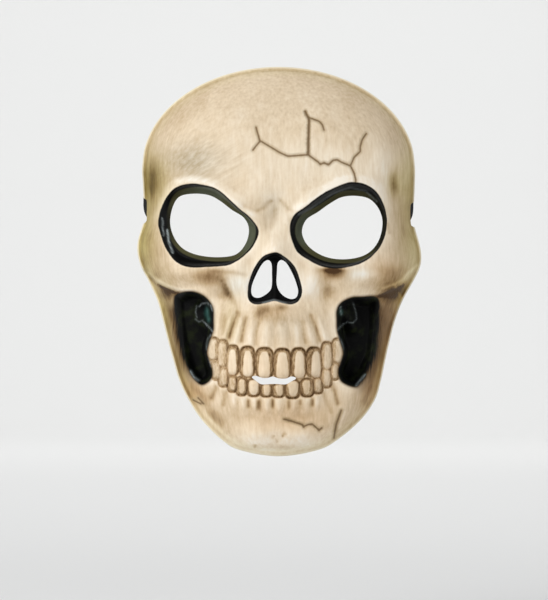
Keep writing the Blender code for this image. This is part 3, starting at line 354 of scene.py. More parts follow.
HOLLOWS = {
    "left": [(-46.4, -31.0), (-43.5, -29.3), (-38.5, -28.7), (-34.0, -30.0), (-30.6, -32.6), (-28.4, -36.6),
             (-28.2, -42.0), (-28.3, -46.6), (-30.2, -52.0), (-31.2, -56.5), (-30.4, -60.0), (-28.7, -65.5),
             (-29.6, -69.2), (-33.4, -71.7), (-36.8, -69.6), (-39.6, -65.4), (-42.4, -59.0), (-44.6, -51.5),
             (-46.0, -43.0), (-46.6, -36.5)],
    "right": [(48.0, -33.2), (45.6, -31.0), (40.0, -31.2), (35.1, -31.5), (30.2, -34.0), (28.3, -37.5),
              (28.3, -42.0), (28.5, -46.6), (30.0, -52.0), (31.3, -56.5), (30.6, -60.0), (29.0, -65.0),
              (30.0, -69.4), (33.0, -71.6), (36.2, -72.6), (38.2, -72.2), (41.2, -68.5), (44.0, -63.5),
              (46.6, -57.5), (47.6, -49.0), (48.1, -41.0)],
}

# Teeth: middle, half width, upper end, lower end
UPPER_TEETH = [
    (-28.3, 2.6, -50.1, -60.3), (-23.9, 2.4, -51.3, -63.5), (-19.3, 2.9, -53.8, -66.9),
    (-12.6, 3.3, -54.3, -67.9), (-4.7, 4.0, -54.9, -68.2), (3.4, 3.8, -55.3, -68.7),
    (10.8, 3.3, -55.0, -68.4), (17.8, 3.4, -54.7, -67.8), (23.8, 2.5, -52.2, -64.6),
    (28.7, 2.5, -50.6, -61.4),
]
LOWER_TEETH = [
    (-26.9, 2.0, -60.7, -69.0), (-23.5, 2.2, -63.5, -72.2), (-19.4, 2.0, -67.6, -74.5),
    (-15.2, 2.4, -68.1, -76.1), (-9.7, 2.8, -69.0, -76.4), (-3.9, 2.5, -71.2, -76.6),
    (1.6, 2.7, -71.2, -76.8), (8.0, 3.2, -69.2, -77.3), (14.7, 2.9, -68.8, -76.6),
    (19.6, 2.0, -68.3, -75.2), (23.5, 2.2, -64.0, -72.5), (27.4, 1.8, -61.6, -69.0),
]
TOOTH_PIT = 1.2            # depth of the groove around the teeth
TOOTH_RISE = 2.3           # how far a tooth stands out of it
TOOTH_MARGIN = 0.75        # width of the groove beside a tooth
ROOT_RISE = 0.9
ROOT_SHARE = 0.75          # width of a root, as a share of its tooth's
ROOT_LEAN = {"upper": 0.014, "lower": 0.006}         # the roots draw together away from the teeth
ROOT_FADE = {"upper": (7, 17), "lower": (4, 11)}     # distances from the tooth where a root fades out

# Line of the front teeth: height, depth
MUZZLE = [(-20.0, 9.0), (-30.0, 4.0), (-36.0, 0.5), (-46.0, -2.5), (-55.0, -4.0), (-62.0, -4.8),
          (-68.0, -4.6), (-74.0, -3.2), (-80.0, -1.6), (-86.0, 0.6), (-94.0, 3.0), (-104.4, 12.0)]
ARCH = 0.0165              # curve of the dental arch, per millimetre
MUZZLE_BLEND = 2.5
MUZZLE_TOP = -20.0         # above this height the line of the teeth leaves the face

# Rounded forms, raised where negative: depth, x, height, half width, half height
FORMS = [
    (-1.2, -26.0, 36.0, 20.0, 14.0), (-1.2, 30.0, 36.0, 20.0, 14.0),
    (2.2, -57.0, 23.0, 5.0, 12.0), (2.6, 55.0, 22.0, 4.0, 11.0),
    (-1.6, -14.0, 14.0, 8.0, 5.0), (-1.6, 14.0, 15.5, 8.0, 5.0),
    (1.4, 0.0, 9.0, 3.5, 7.0), (-4.6, 0.0, -9.5, 6.0, 8.0),
    (-2.2, -16.0, -24.0, 4.5, 10.0), (-2.2, 16.5, -24.0, 4.5, 10.0),
    (2.8, -23.5, -30.0, 6.0, 6.0), (2.6, 24.0, -30.0, 6.0, 6.0),
    (-4.2, -44.0, -21.0, 13.0, 6.5), (-4.2, 47.0, -22.0, 13.0, 6.5),
    (-2.6, -61.0, -9.0, 5.0, 9.0), (-2.6, 65.0, -10.0, 5.0, 9.0),
    (-2.4, -8.0, -95.0, 8.0, 5.5), (-2.4, 10.0, -95.0, 8.0, 5.5),
    (1.6, 1.0, -86.0, 14.0, 4.0),
]
# Line under each cheekbone: distance from the middle, height
CHEEK_LINES = {
    "left": [(43, -28.3), (50, -26.0), (55, -23.5), (60, -18.6), (66, -13.0)],
    "right": [(43, -30.5), (53, -27.8), (59, -24.6), (64, -20.8), (70, -14.0)],
}
CHEEK_STEP = 3.4
CHEEK_STEP_FROM = (40, 45)                  # distance from the middle where the step sets in
CHEEK_STEP_FADE = (6, 34)                   # distance below the line where it fades out
# Forms inside the cheek hollows, raised from their floor: x, height, half width, half height, rise
HOLLOW_FORMS = [
    (-33.0, -39.0, 4.2, 5.5, 9.0), (-30.5, -46.0, 2.5, 4.0, 5.0), (-39.0, -68.5, 4.0, 3.0, 3.5),
    (31.5, -38.0, 4.5, 5.0, 9.0), (35.5, -44.5, 3.0, 3.5, 5.5), (37.5, -69.5, 4.5, 2.5, 3.5),
]
SIGN = {"left": -1, "right": 1}

BROW_RIM, BROW_EXTRA, BROW_REACH = 0.9, 1.5, 4.5
BROW_FROM = (-4, 10)                        # heights over which the brow's extra rim grows
NOSE_RIM, NOSE_REACH = 1.4, 3.2
LEDGE_DEPTH, LEDGE_CURVE = 9.5, 0.0042      # ledge round the eye holes
SOCKET_WALL = 0.62                          # share of the way to the hole taken by the sloping wall
NOSE_FLOOR, NOSE_WALL = 7.5, 1.5
SEPTUM_RISE, SEPTUM_WIDTH = 1.2, 1.6
SEPTUM_TOP = (13, 18)                       # distances below the eyes over which it grows
HOLLOW_FLOOR, HOLLOW_FALL = 27.0, 0.12
HOLLOW_NEAR_WALL, HOLLOW_FAR_WALL = 3.2, 5.0
HOLLOW_TURN = (34, 45)                      # distances from the middle between the two walls

FAR = 14.0
BLOCK = 8000               # points whose distances are worked out at once


def closed_curve(points, spacing):
    """A smooth closed line through the points, as points about this far apart."""
    p = np.asarray(points, float)
    before, after, second = np.roll(p, 1, 0), np.roll(p, -1, 0), np.roll(p, -2, 0)
    t = np.linspace(0, 1, 16, endpoint=False)[:, None, None]
    fine = 0.5 * (2 * p + (after - before) * t + (2 * before - 5 * p + 4 * after - second) * t**2
                  + (3 * p - before - 3 * after + second) * t**3)
    fine = fine.transpose(1, 0, 2).reshape(-1, 2)
    ring = np.vstack([fine, fine[:1]])
    along = np.concatenate([[0], np.cumsum(np.linalg.norm(np.diff(ring, axis=0), axis=1))])
    at = np.linspace(0, along[-1], max(8, round(along[-1] / spacing)), endpoint=False)
    return np.column_stack([np.interp(at, along, ring[:, k]) for k in (0, 1)])


def distance_inside(x, z, loop):
    """Distance of each point from the loop, positive inside it, no further than FAR outside."""
    low, high = loop.min(0) - FAR, loop.max(0) + FAR
    near = (x > low[0]) & (x < high[0]) & (z > low[1]) & (z < high[1])
    out = np.full(x.shape, -FAR)
    px, pz = x[near], z[near]
    blocks = [loop_distance(px[k:k + BLOCK], pz[k:k + BLOCK], loop) for k in range(0, len(px), BLOCK)]
    out[near] = np.concatenate(blocks) if blocks else 0.0
    return np.maximum(out, -FAR)


def loop_distance(x, z, loop):
    px, pz = x[:, None], z[:, None]
    a, b = loop, np.roll(loop, -1, 0)
    edge = b - a
    dx, dz = px - a[:, 0], pz - a[:, 1]
    s = np.clip((dx * edge[:, 0] + dz * edge[:, 1]) / (edge**2).sum(1), 0, 1)
    away = np.sqrt(((dx - s * edge[:, 0]) ** 2 + (dz - s * edge[:, 1]) ** 2).min(1))
    crosses = (a[:, 1] > pz) != (b[:, 1] > pz)
    rise = np.where(edge[:, 1] == 0, 1, edge[:, 1])
    left_of = px < a[:, 0] + (pz - a[:, 1]) / rise * edge[:, 0]
    inside = (crosses & left_of).sum(1) % 2 == 1
    return np.where(inside, away, -away)


def smooth_step(value, low, high):
    t = np.clip((value - low) / (high - low), 0, 1)
    return t * t * (3 - 2 * t)


def soft_min(a, b, reach):
    h = np.clip(0.5 + 0.5 * (b - a) / reach, 0, 1)
    return b * (1 - h) + a * h - reach * h * (1 - h)


def bell(distance, width):
    """Falls from 1 at no distance to nearly 0 at twice the width."""
    return np.exp(-((distance / width) ** 2))


def spots(x, z, rows):
    """Soft spots, added up."""
    total = np.zeros_like(x)
    for px, pz, wide, tall, strength in rows:
        total = total + strength * bell(x - px, wide) * bell(z - pz, tall)
    return total


def table_curves(rows, spacing=0.5):
    """The columns of a table as smooth curves of its first column."""
    r = np.array(sorted(rows), float)
    h = r[:, 0]
    slope = np.gradient(r[:, 1:], h, axis=0)
    at = np.arange(h[0], h[-1], spacing)
    i = np.searchsorted(h, at, side="right") - 1
    w = (h[i + 1] - h[i])[:, None]
    t = (at - h[i])[:, None] / w
    start, end = r[i, 1:], r[i + 1, 1:]
    leave, arrive = slope[i] * w, slope[i + 1] * w
    value = (2 * t**3 - 3 * t**2 + 1) * start + (t**3 - 2 * t**2 + t) * leave
    value = value + (3 * t**2 - 2 * t**3) * end + (t**3 - t**2) * arrive
    return np.append(at, h[-1]), np.vstack([value, r[-1, 1:]])


def outline_points():
    """The outer edge in turn: left side downwards, chin, right side upwards, crown."""
    left = [(row[1], row[0]) for row in EDGES]
    right = [(row[2], row[0]) for row in reversed(EDGES)]
    angles = np.radians(np.arange(12, 180, 12))
    cx, cz = CROWN_CENTRE
    crown = [(cx + CROWN_HALF_WIDTH * math.cos(a), cz + CROWN_RISE * math.sin(a)) for a in angles]
    return left + [CHIN] + right + crown


def all_loops(spacing):
    made = {"nose": closed_curve(NOSE, spacing), "mouth": closed_curve(MOUTH, spacing)}
    for side in SIGN:
        made["socket_" + side] = closed_curve(SOCKETS[side], spacing)
        made["eye_" + side] = closed_curve(EYE_HOLES[side], spacing)
        made["hollow_" + side] = closed_curve(HOLLOWS[side], spacing)
        made["nostril_" + side] = closed_curve(NOSTRILS[side], spacing)
    return made


def side_edges():
    """Height and x of each side edge, from the chin to the crown's centre."""
    low = EDGE[:, 1].argmin()
    ring = np.roll(EDGE, -low, 0)
    top = ring[:, 1].argmax()
    right, left = ring[:top], np.vstack([ring[:1], ring[:top:-1]])
    return left, right


LOOPS = all_loops(1.0)
EDGE = closed_curve(outline_points(), 1.0)
LEFT_EDGE, RIGHT_EDGE = side_edges()
PROFILE_AT, PROFILE_DEPTH = table_curves(PROFILE)
MUZZLE_AT, MUZZLE_DEPTH = table_curves(MUZZLE)


def dome(x, z):
    """The plain face: a flat front that turns into steep sides and ends in a narrow lip."""
    low = np.minimum(z, CROWN_CENTRE[1])
    left = np.interp(low, LEFT_EDGE[:, 1], LEFT_EDGE[:, 0])
    right = np.interp(low, RIGHT_EDGE[:, 1], RIGHT_EDGE[:, 0])
    across = abs(x - (left + right) / 2) / np.maximum((right - left) / 2 - LIP, 1)
    up = np.maximum(z - CROWN_CENTRE[1], 0) / (CROWN_RISE - LIP)
    share = np.sqrt(across**2 + up**2)
    lean = up**2 / np.maximum(share**2, 1e-9)
    middle = np.interp(low, PROFILE_AT, PROFILE_DEPTH[:, 0])
    rim = np.interp(low, PROFILE_AT, PROFILE_DEPTH[:, 1])
    rim = rim + (CROWN_RIM_DEPTH - rim) * lean
    share = np.minimum(share, 1)
    power = SHOULDER_POWER + (CROWN_POWER - SHOULDER_POWER) * lean
    return middle + (rim - middle) * ((1 - SHOULDER) * share**2 + SHOULDER * share**power)


def rounded_forms(x, z):
    total = np.zeros_like(x)
    for deep, mid_x, mid_z, wide, tall in FORMS:
        total = total + deep * bell(x - mid_x, wide) * bell(z - mid_z, tall)
    return total


def cheek_steps(x, z):
    """The bone steps back below each cheekbone."""
    total = np.zeros_like(x)
    for side, line in CHEEK_LINES.items():
        out = SIGN[side] * x
        rows = np.array(line, float)
        below = np.interp(out, rows[:, 0], rows[:, 1]) - z
        fade = smooth_step(below, -0.3, 2.0) * (1 - smooth_step(below, *CHEEK_STEP_FADE))
        total = total + CHEEK_STEP * smooth_step(out, *CHEEK_STEP_FROM) * fade
    return total


def roots(x, z):
    """Ridges of the tooth roots above the upper teeth and below the lower ones."""
    total = np.zeros_like(x)
    rows = [(row, "upper", z - row[2]) for row in UPPER_TEETH[1:-1]]
    rows += [(row, "lower", row[3] - z) for row in LOWER_TEETH[2:-2]]
    for (middle, half, top, bottom), jaw, beyond in rows:
        line = middle * (1 - ROOT_LEAN[jaw] * beyond)
        fade = smooth_step(beyond, -1, 2) * (1 - smooth_step(beyond, *ROOT_FADE[jaw]))
        total = np.maximum(total, fade * bell(x - line, half * ROOT_SHARE))
    return total


def root_zone(x, z):
    """How far each place lies in the fluted bone above the upper teeth and below the lower ones."""
    reach = 1 - smooth_step(abs(x), 20, 27)
    above = smooth_step(z, -55, -50) * (1 - smooth_step(z, -46, -38))
    below = smooth_step(-z, 77, 79) * (1 - smooth_step(-z, 80, 87))
    return reach * (above + 0.6 * below)


def tooth_parts(x, z):
    """How far each place lies in the grooves and on the teeth, 0 to 1."""
    pit, rise = np.zeros_like(x), np.zeros_like(x)
    for middle, half, top, bottom in UPPER_TEETH + LOWER_TEETH:
        tall = (top - bottom) / 2
        u, v = abs(x - middle), abs(z - (top + bottom) / 2)
        outer = (u / (half + TOOTH_MARGIN)) ** 3 + (v / (tall + TOOTH_MARGIN)) ** 3
        inner = (u / (half - 0.15)) ** 2.6 + (v / (tall - 0.1)) ** 3.4
        pit = np.maximum(pit, smooth_step(1.15 - outer, 0, 0.45))
        rise = np.maximum(rise, np.sqrt(np.clip(1 - inner, 0, 1)))
    return pit, rise


def teeth(x, z):
    """Depth that the grooves and the teeth add."""
    pit, rise = tooth_parts(x, z)
    return TOOTH_PIT * pit - TOOTH_RISE * rise


def sink_hollow(bone, x, z, inside, side):
    """A closed hollow of the cheek, with a steep wall beside the teeth."""
    out = SIGN[side] * x
    far = smooth_step(out, *HOLLOW_TURN)
    near_cut = smooth_step(inside, 0, HOLLOW_NEAR_WALL)
    cut = near_cut + (smooth_step(inside, 0, HOLLOW_FAR_WALL) - near_cut) * far
    floor = HOLLOW_FLOOR + HOLLOW_FALL * (out - 30) - spots(x, z, HOLLOW_FORMS)
    return bone * (1 - cut) + np.maximum(floor, bone + 1.0) * cut


def sink_socket(bone, x, inside, hole):
    """The wall of an eye socket, down to a ledge round the hole."""
    share = np.where(inside <= 0, 0, inside / np.maximum(inside + np.maximum(-hole, 0), 1e-6))
    ledge = np.maximum(LEDGE_DEPTH + LEDGE_CURVE * x**2, bone + 2.0)
    return bone + (ledge - bone) * smooth_step(share, 0, SOCKET_WALL)


def sink_nose(bone, x, z, inside):
    floor = NOSE_FLOOR - SEPTUM_RISE * bell(x, SEPTUM_WIDTH) * smooth_step(-z, *SEPTUM_TOP)
    return bone + (np.maximum(floor, bone) - bone) * smooth_step(inside, 0, NOSE_WALL)


def relief(x, z):
    """Depth of the outer face at each place."""
    inside = {name: distance_inside(x, z, loop) for name, loop in LOOPS.items()}
    bone = dome(x, z) + rounded_forms(x, z)
    brow = BROW_RIM + BROW_EXTRA * smooth_step(z, *BROW_FROM)
    for side in SIGN:
        bone = bone - brow * bell(np.maximum(-inside["socket_" + side], 0), BROW_REACH)
    bone = bone - NOSE_RIM * bell(np.maximum(-inside["nose"], 0), NOSE_REACH)
    bone = bone + cheek_steps(x, z)
    muzzle = np.interp(z, MUZZLE_AT, MUZZLE_DEPTH[:, 0]) + ARCH * x**2 + np.maximum(z - MUZZLE_TOP, 0)
    bone = soft_min(bone, muzzle, MUZZLE_BLEND) - ROOT_RISE * roots(x, z) + teeth(x, z)
    for side in SIGN:
        bone = sink_hollow(bone, x, z, inside["hollow_" + side], side)
        bone = sink_socket(bone, x, inside["socket_" + side], inside["eye_" + side])
    return sink_nose(bone, x, z, inside["nose"])


def line_points(rows, spacing=0.4):
    """Points along an open line, this far apart."""
    p = np.asarray(rows, float)
    along = np.concatenate([[0], np.cumsum(np.linalg.norm(np.diff(p, axis=0), axis=1))])
    at = np.arange(0, along[-1], spacing)
    return np.column_stack([np.interp(at, along, p[:, k]) for k in (0, 1)])


def distance_to_lines(x, z, lines, limit=4.0):
    """Distance from each point to the nearest line."""
    out = np.full(x.shape, limit)
    for rows in lines:
        p = np.asarray(rows, float)
        low, high = p.min(0) - limit, p.max(0) + limit
        near = (x > low[0]) & (x < high[0]) & (z > low[1]) & (z < high[1])
        px, pz = x[near][:, None], z[near][:, None]
        a, edge = p[:-1], np.diff(p, axis=0)
        s = np.clip(((px - a[:, 0]) * edge[:, 0] + (pz - a[:, 1]) * edge[:, 1]) / (edge**2).sum(1), 0, 1)
        away = np.hypot(px - a[:, 0] - s * edge[:, 0], pz - a[:, 1] - s * edge[:, 1]).min(1)
        out[near] = np.minimum(out[near], away)
    return out


def along_line(x, z, line, width):
    return bell(distance_to_lines(x, z, [line], 3 * width), width)


def pixel(column, row):
    """A place in the photograph's frame as x and height."""
    return ((column - EYE_MIDDLE[0]) * MM_PER_PIXEL, (EYE_MIDDLE[1] - row) * MM_PER_PIXEL)


def wobble(x, z, size, seed):
    """Smooth waves of about this size, between -1 and 1."""
    rng = np.random.default_rng(seed)
    total = np.zeros_like(x)
    for _ in range(WAVES):
        angle, phase = rng.uniform(0, 2 * math.pi, 2)
        wave = 2 * math.pi / (size * rng.uniform(0.7, 1.5))
        total = total + np.sin(wave * (x * math.cos(angle) + z * math.sin(angle)) + phase)
    return total / WAVES ** 0.5 / 1.4


def recess(x, z):
    """How far inside the nearest black recess each place lies."""
    names = ["nose"] + [kind + "_" + side for kind in ("socket", "hollow") for side in SIGN]
    return np.max([distance_inside(x, z, LOOPS[name]) for name in names], 0)


def root_marks(x, z):
    total = np.zeros_like(x)
    for middle, top, bottom, half, strength in ROOT_MARKS:
        up = (z - (top + bottom) / 2) / ((top - bottom) / 2 + 0.4)
        total = np.maximum(total, strength * np.exp(-(((x - middle) / half) ** 2) - up**4))
    return total


def fine_relief(x, z):
    """The relief with its cracks, pits, furrows and unevenness."""
    deep = relief(x, z)
    clear = smooth_step(distance_inside(x, z, EDGE), 1.5, 5.0) * smooth_step(-recess(x, z), -0.2, 1.5)
    for height, size, seed in UNEVEN:
        deep = deep + clear * height * wobble(x, z, size, seed)
    crack = distance_to_lines(x, z, CRACKS)
    for depth, away, width in CRACK_SECTION:
        deep = deep + depth * bell(crack - away, width)
    deep = deep + SUTURE_DEPTH * bell(distance_to_lines(x, z, SUTURES), SUTURE_WIDTH)
    deep = deep + ROOT_MARK_DEPTH * root_marks(x, z)
    for px, pz, size in PITS:
        deep = deep + PIT_DEPTH * bell(np.hypot(x - px, z - pz), size)
    for line, depth, width in FURROWS:
        deep = deep + depth * along_line(x, z, line, width)
    for line, width, _ in GLOSS_HIGHLIGHT_LINES:
        deep = deep - GLOSS_RISE * bell(distance_to_lines(x, z, [line], GLOSS_REACH), 1.4 * width)
    return deep


def lattice(spacing, x0, x1, z0, z1):
    rows = np.arange(z0, z1, spacing * 0.87)
    columns = np.arange(x0, x1, spacing)
    x = columns[None, :] + (np.arange(len(rows)) % 2)[:, None] * spacing / 2
    z = np.repeat(rows[:, None], len(columns), 1)
    return np.column_stack([x.ravel(), z.ravel()])


def inside_mask(points, edges, margin):
    """Which points lie in the sheet, at least this far from its edges."""
    keep = distance_inside(points[:, 0], points[:, 1], edges[0]) > margin
    for edge in edges[1:]:
        keep &= distance_inside(points[:, 0], points[:, 1], edge) < -margin
    return keep


def notched(loop):
    """The outer edge with a shallow notch at each temple."""
    out = loop.copy()
    for side, (height, deep) in NOTCHES.items():
        window = 1 - smooth_step(abs(loop[:, 1] - height), NOTCH_HALF_HEIGHT - 0.2, NOTCH_HALF_HEIGHT + 0.8)
        on_side = SIGN[side] * loop[:, 0] > 0
        out[:, 0] = out[:, 0] - SIGN[side] * deep * window * on_side
    return out


def sheet_edges():
    """The outer edge and the edges of the holes, in turn."""
    loops = [notched(closed_curve(outline_points(), EDGE_SPACING))]
    for table in (EYE_HOLES, NOSTRILS):
        loops += [closed_curve(table[side], EDGE_SPACING) for side in SIGN]
    loops.append(closed_curve(MOUTH, EDGE_SPACING * 0.8))
    return loops


def inset_ring(loop, distance):
    """The points of a loop moved this far inwards."""
    along = np.roll(loop, -2, 0) - np.roll(loop, 2, 0)
    normal = np.column_stack([-along[:, 1], along[:, 0]]) / np.linalg.norm(along, axis=1)[:, None]
    area = (loop[:, 0] * np.roll(loop[:, 1], -1) - loop[:, 1] * np.roll(loop[:, 0], -1)).sum()
    return loop + normal * distance * np.sign(area)


def sheet_triangles(edges, extra):
    """Points and triangles over the sheet: its edges first, then the others."""
    points = np.vstack([*edges, extra])
    sides, start = [], 0
    for edge in edges:
        count = len(edge)
        sides += [(start + k, start + (k + 1) % count) for k in range(count)]
        start += count
    made = delaunay_2d_cdt([Vector(p) for p in points], sides, [], 0, 1e-7, False)
    points = np.array([tuple(p) for p in made[0]])
    triangles = np.array(made[2])
    corner = points[triangles]
    triangles = triangles[inside_mask(corner.mean(1), edges, 0)]
    corner = points[triangles]
    a, b = corner[:, 1] - corner[:, 0], corner[:, 2] - corner[:, 0]
    turned = a[:, 0] * b[:, 1] - a[:, 1] * b[:, 0] < 0
    triangles[turned] = triangles[turned][:, ::-1]
    return points, triangles


class Grid:
    """Values at every half millimetre, read between by proportion."""

    def __init__(self, step=0.5):
        self.step = step
        self.x0, x1, self.z0, z1 = map(float, FACE_BOX)
        self.x, self.z = np.meshgrid(np.arange(self.x0, x1, step), np.arange(self.z0, z1, step))

    def read(self, values, x, z):
        u = np.clip((x - self.x0) / self.step, 0, values.shape[1] - 1.001)
        v = np.clip((z - self.z0) / self.step, 0, values.shape[0] - 1.001)
        i, j = u.astype(int), v.astype(int)
        u, v = u - i, v - j
        low = values[j, i] * (1 - u) + values[j, i + 1] * u
        high = values[j + 1, i] * (1 - u) + values[j + 1, i + 1] * u
        return low * (1 - v) + high * v

    def blurred(self, values, width):
        reach = int(3 * width / self.step)
        weights = np.exp(-((np.arange(-reach, reach + 1) * self.step / width) ** 2) / 2)
        weights = weights / weights.sum()
        out = np.pad(values, reach, mode="edge")
        out = sum(w * out[k:k + values.shape[0]] for k, w in enumerate(weights))
        return sum(w * out[:, k:k + values.shape[1]] for k, w in enumerate(weights))


def inner_depth(grid, depth, x, z):
    """Depth of the inner face: a ball as wide as the wall is rolled behind the outer face."""
    deepest = grid.read(depth, x, z) + WALL
    for radius, count in ((0.55, 6), (0.92, 12)):
        push = WALL * math.sqrt(1 - radius**2)
        for k in range(count):
            angle = 2 * math.pi * k / count
            dx, dz = WALL * radius * math.cos(angle), WALL * radius * math.sin(angle)
            deepest = np.maximum(deepest, grid.read(depth, x + dx, z + dz) + push)
    return deepest


def lit_tooth_faces(x, z):
    """Painted highlight on the lit face of each tooth."""
    total = np.zeros_like(x)
    across = x + 0.13 * wobble(x, z, 3.5, 8)
    for jaw, rows in LIT_TOOTH_FACES.items():
        for middle, half, top, bottom, light in rows:
            tall = (top - bottom) / 2
            up = (z - (top + bottom) / 2) / tall
            wide = (half + 0.1) * (1 - FACE_TAPER[jaw] * np.clip(up, -1, 1))
            away = abs((across - middle) / wide) ** 3 + abs(up / 1.04) ** 4
            total = np.maximum(total, light * (1 - smooth_step(away, 0.75, 1.2)))
    return total


def tooth_outlines(x, z):
    """Painted shade in the dark line round each tooth, strongest at the gum, and a painted highlight on the
    thin ridge inside it.
    """
    dark, ridge = np.zeros_like(x), np.zeros_like(x)
    for rows, to_gum, weight in ((UPPER_TEETH, 1, 1.0), (LOWER_TEETH, -1, 0.7)):
        for middle, half, top, bottom in rows:
            tall = (top - bottom) / 2
            up = (z - (top + bottom) / 2) / (tall + 0.3)
            away = abs((x - middle) / (half + 0.1)) ** 3 + abs(up) ** 3
            steep = 3 / half
            strength = weight * (0.12 + 0.8 * smooth_step(up * to_gum, 0.35, 0.85))
            strength = strength * (1 - smooth_step(-up * to_gum, 0.3, 0.8))
            dark = np.maximum(dark, strength * np.exp(-(((away - 1.05) / (0.24 * steep)) ** 2)))
            ridge = np.maximum(ridge, np.exp(-(((away - 1 + 0.55 * steep) / (0.25 * steep)) ** 2)))
    return dark * (1 - 0.5 * smooth_step(abs(x), 16, 24)), ridge


def bone_tone(grid, depth, x, z):
    """How light the bone is painted, from 0 to 1: its own tone, with painted shade in hollows, creases, pits
    and between the teeth, and painted highlights on ridges and tooth faces.
    """
    # The bone's own tone, with soft spots and lines of painted light and shade
    tone = BASE_TONE + spots(x, z, SHADE_AND_TONE_SPOTS)
    for line, width, change in HIGHLIGHT_AND_SHADE_LINES:
        tone = tone + change * along_line(x, z, line, width)
    detail = depth - dome(grid.x, grid.z)
    rim = distance_inside(x, z, EDGE)
    clear = smooth_step(rim, 1.2, 4.5)
    steep = grid.blurred(np.hypot(*np.gradient(depth, grid.step)), 0.8)
    formed = {
        "wide": clear * grid.read(detail - grid.blurred(detail, 3.5), x, z),
        "fine": clear * grid.read(depth - grid.blurred(depth, 0.9), x, z),
        "steep": grid.read(steep, x, z),
    }
    # Painted shade in hollows and on steep slopes, painted highlights on ridges
    for name, sign, low, high, change in FORM_SHADES:
        share = smooth_step(sign * formed[name], low, high)
        tone = tone + change * share * (clear if name == "steep" else 1)
    # Painted shadow in a thin line inside the rim
    tone = tone + LIP_SHADE * bell(rim - LIP_PLACE, LIP_WIDTH)
    # Painted highlights on the root ridges, painted shade over the fluted bone
    tone = tone + root_zone(x, z) * (ROOT_LIGHT * roots(x, z) - ROOT_SHADE)
    # Painted shade in the grooves round the teeth and along the gum, painted highlights on their thin ridges
    # and lit faces
    pit = tooth_parts(x, z)[0]
    tone = tone * (1 - pit) + (GROOVE_SHADE_TONE + SIDE_TOOTH_TONE * smooth_step(abs(x), *SIDE_TEETH)) * pit
    dark, ridge = tooth_outlines(x, z)
    tone = tone + RIDGE_LIGHT * ridge * pit
    tone = tone + (GUM_SHADE_TONE - tone) * GUM_SHARE * dark
    tone = tone + (LIT_FACE_TONE - tone) * lit_tooth_faces(x, z)
    # Painted shade in the pits and in the marks between the roots
    for px, pz, size in PITS:
        tone = tone - PIT_SHADE * bell(np.hypot(x - px, z - pz), size)
    return tone - ROOT_MARK_SHADE * root_marks(x, z)


def paint_fields(grid, depth, x, z):
    """What the paint needs at each vertex of the outer face."""
    inside = {name: distance_inside(x, z, loop) for name, loop in LOOPS.items()}
    fields = {
        "tone": bone_tone(grid, depth, x, z),
        "groove": tooth_parts(x, z)[0] * (1 - lit_tooth_faces(x, z)),
        "socket": np.maximum(inside["socket_left"], inside["socket_right"]),
        "to_eye_hole": np.minimum(-inside["eye_left"], -inside["eye_right"]),
        "nose": inside["nose"],
        "hollow": np.maximum(inside["hollow_left"], inside["hollow_right"]),
        "far_side": smooth_step(abs(x), *SOFT_FROM) * (1 - smooth_step(z, *SOFT_BELOW)),
        "rim": distance_inside(x, z, EDGE),
        "crack": distance_to_lines(x, z, CRACKS),
        "suture": distance_to_lines(x, z, SUTURES),
    }
    for name, rows in HUES.items():
        fields[name] = np.clip(spots(x, z, rows), 0, 1)
    # Painted highlights, standing for reflections, along the glossy edges in the black
    fields["gloss_highlight"] = np.zeros_like(x)
    for line, width, bright in GLOSS_HIGHLIGHT_LINES:
        shine = bright * bell(distance_to_lines(x, z, [line], GLOSS_REACH), width)
        fields["gloss_highlight"] = np.maximum(fields["gloss_highlight"], shine)
    return fields


def ringed_loops(rim):
    """The loops that get rings of points beside them, with the rings' distances."""
    found = [(rim, RINGS["rim"]), (closed_curve(NOSE, EDGE_SPACING * 0.7), RINGS["nose"])]
    for kind, table in (("socket", SOCKETS), ("hollow", HOLLOWS)):
        found += [(closed_curve(table[side], EDGE_SPACING * 0.8), RINGS[kind]) for side in SIGN]
    return found


def spread_points():
    """Points over the sheet, closer together where it is finely sculpted."""
    sets, boxes = [], []
    for spacing, box in OUTER_LATTICES:
        points = lattice(spacing, *box)
        for x0, x1, z0, z1 in boxes:
            x, z = points.T
            points = points[(x < x0) | (x > x1) | (z < z0) | (z > z1)]
        sets.append(points)
        boxes.append(box)
    return np.vstack(sets)


def outer_points(edges):
    """Points inside the outer face: lattices, rings beside its edges and points along the cracks."""
    spread = spread_points()
    spread = spread[distance_to_lines(spread[:, 0], spread[:, 1], CRACKS) > CRACK_CLEAR]
    rings = []
    for loop, distances in ringed_loops(edges[0]):
        inside = distance_inside(spread[:, 0], spread[:, 1], loop)
        spread = spread[(inside < distances[0] - RING_CLEAR) | (inside > distances[-1] + RING_CLEAR)]
        rings += [inset_ring(loop, distance) for distance in distances]
    points = np.vstack([spread, *rings, *[line_points(rows) for rows in CRACKS]])
    return points[inside_mask(points, edges, OUTER_MARGIN)]


def wall_triangles(edges, count):
    """The trimmed edges, between the outer face and an inner face that starts at this count."""
    made, start = [], 0
    for edge in edges:
        n = len(edge)
        area = (edge[:, 0] * np.roll(edge[:, 1], -1) - edge[:, 1] * np.roll(edge[:, 0], -1)).sum()
        outer = start == 0
        for k in range(n):
            i, j = start + k, start + (k + 1) % n
            if (area > 0) != outer:
                i, j = j, i
            made += [(j, i, i + count), (j, i + count, j + count)]
        start += n
    return made


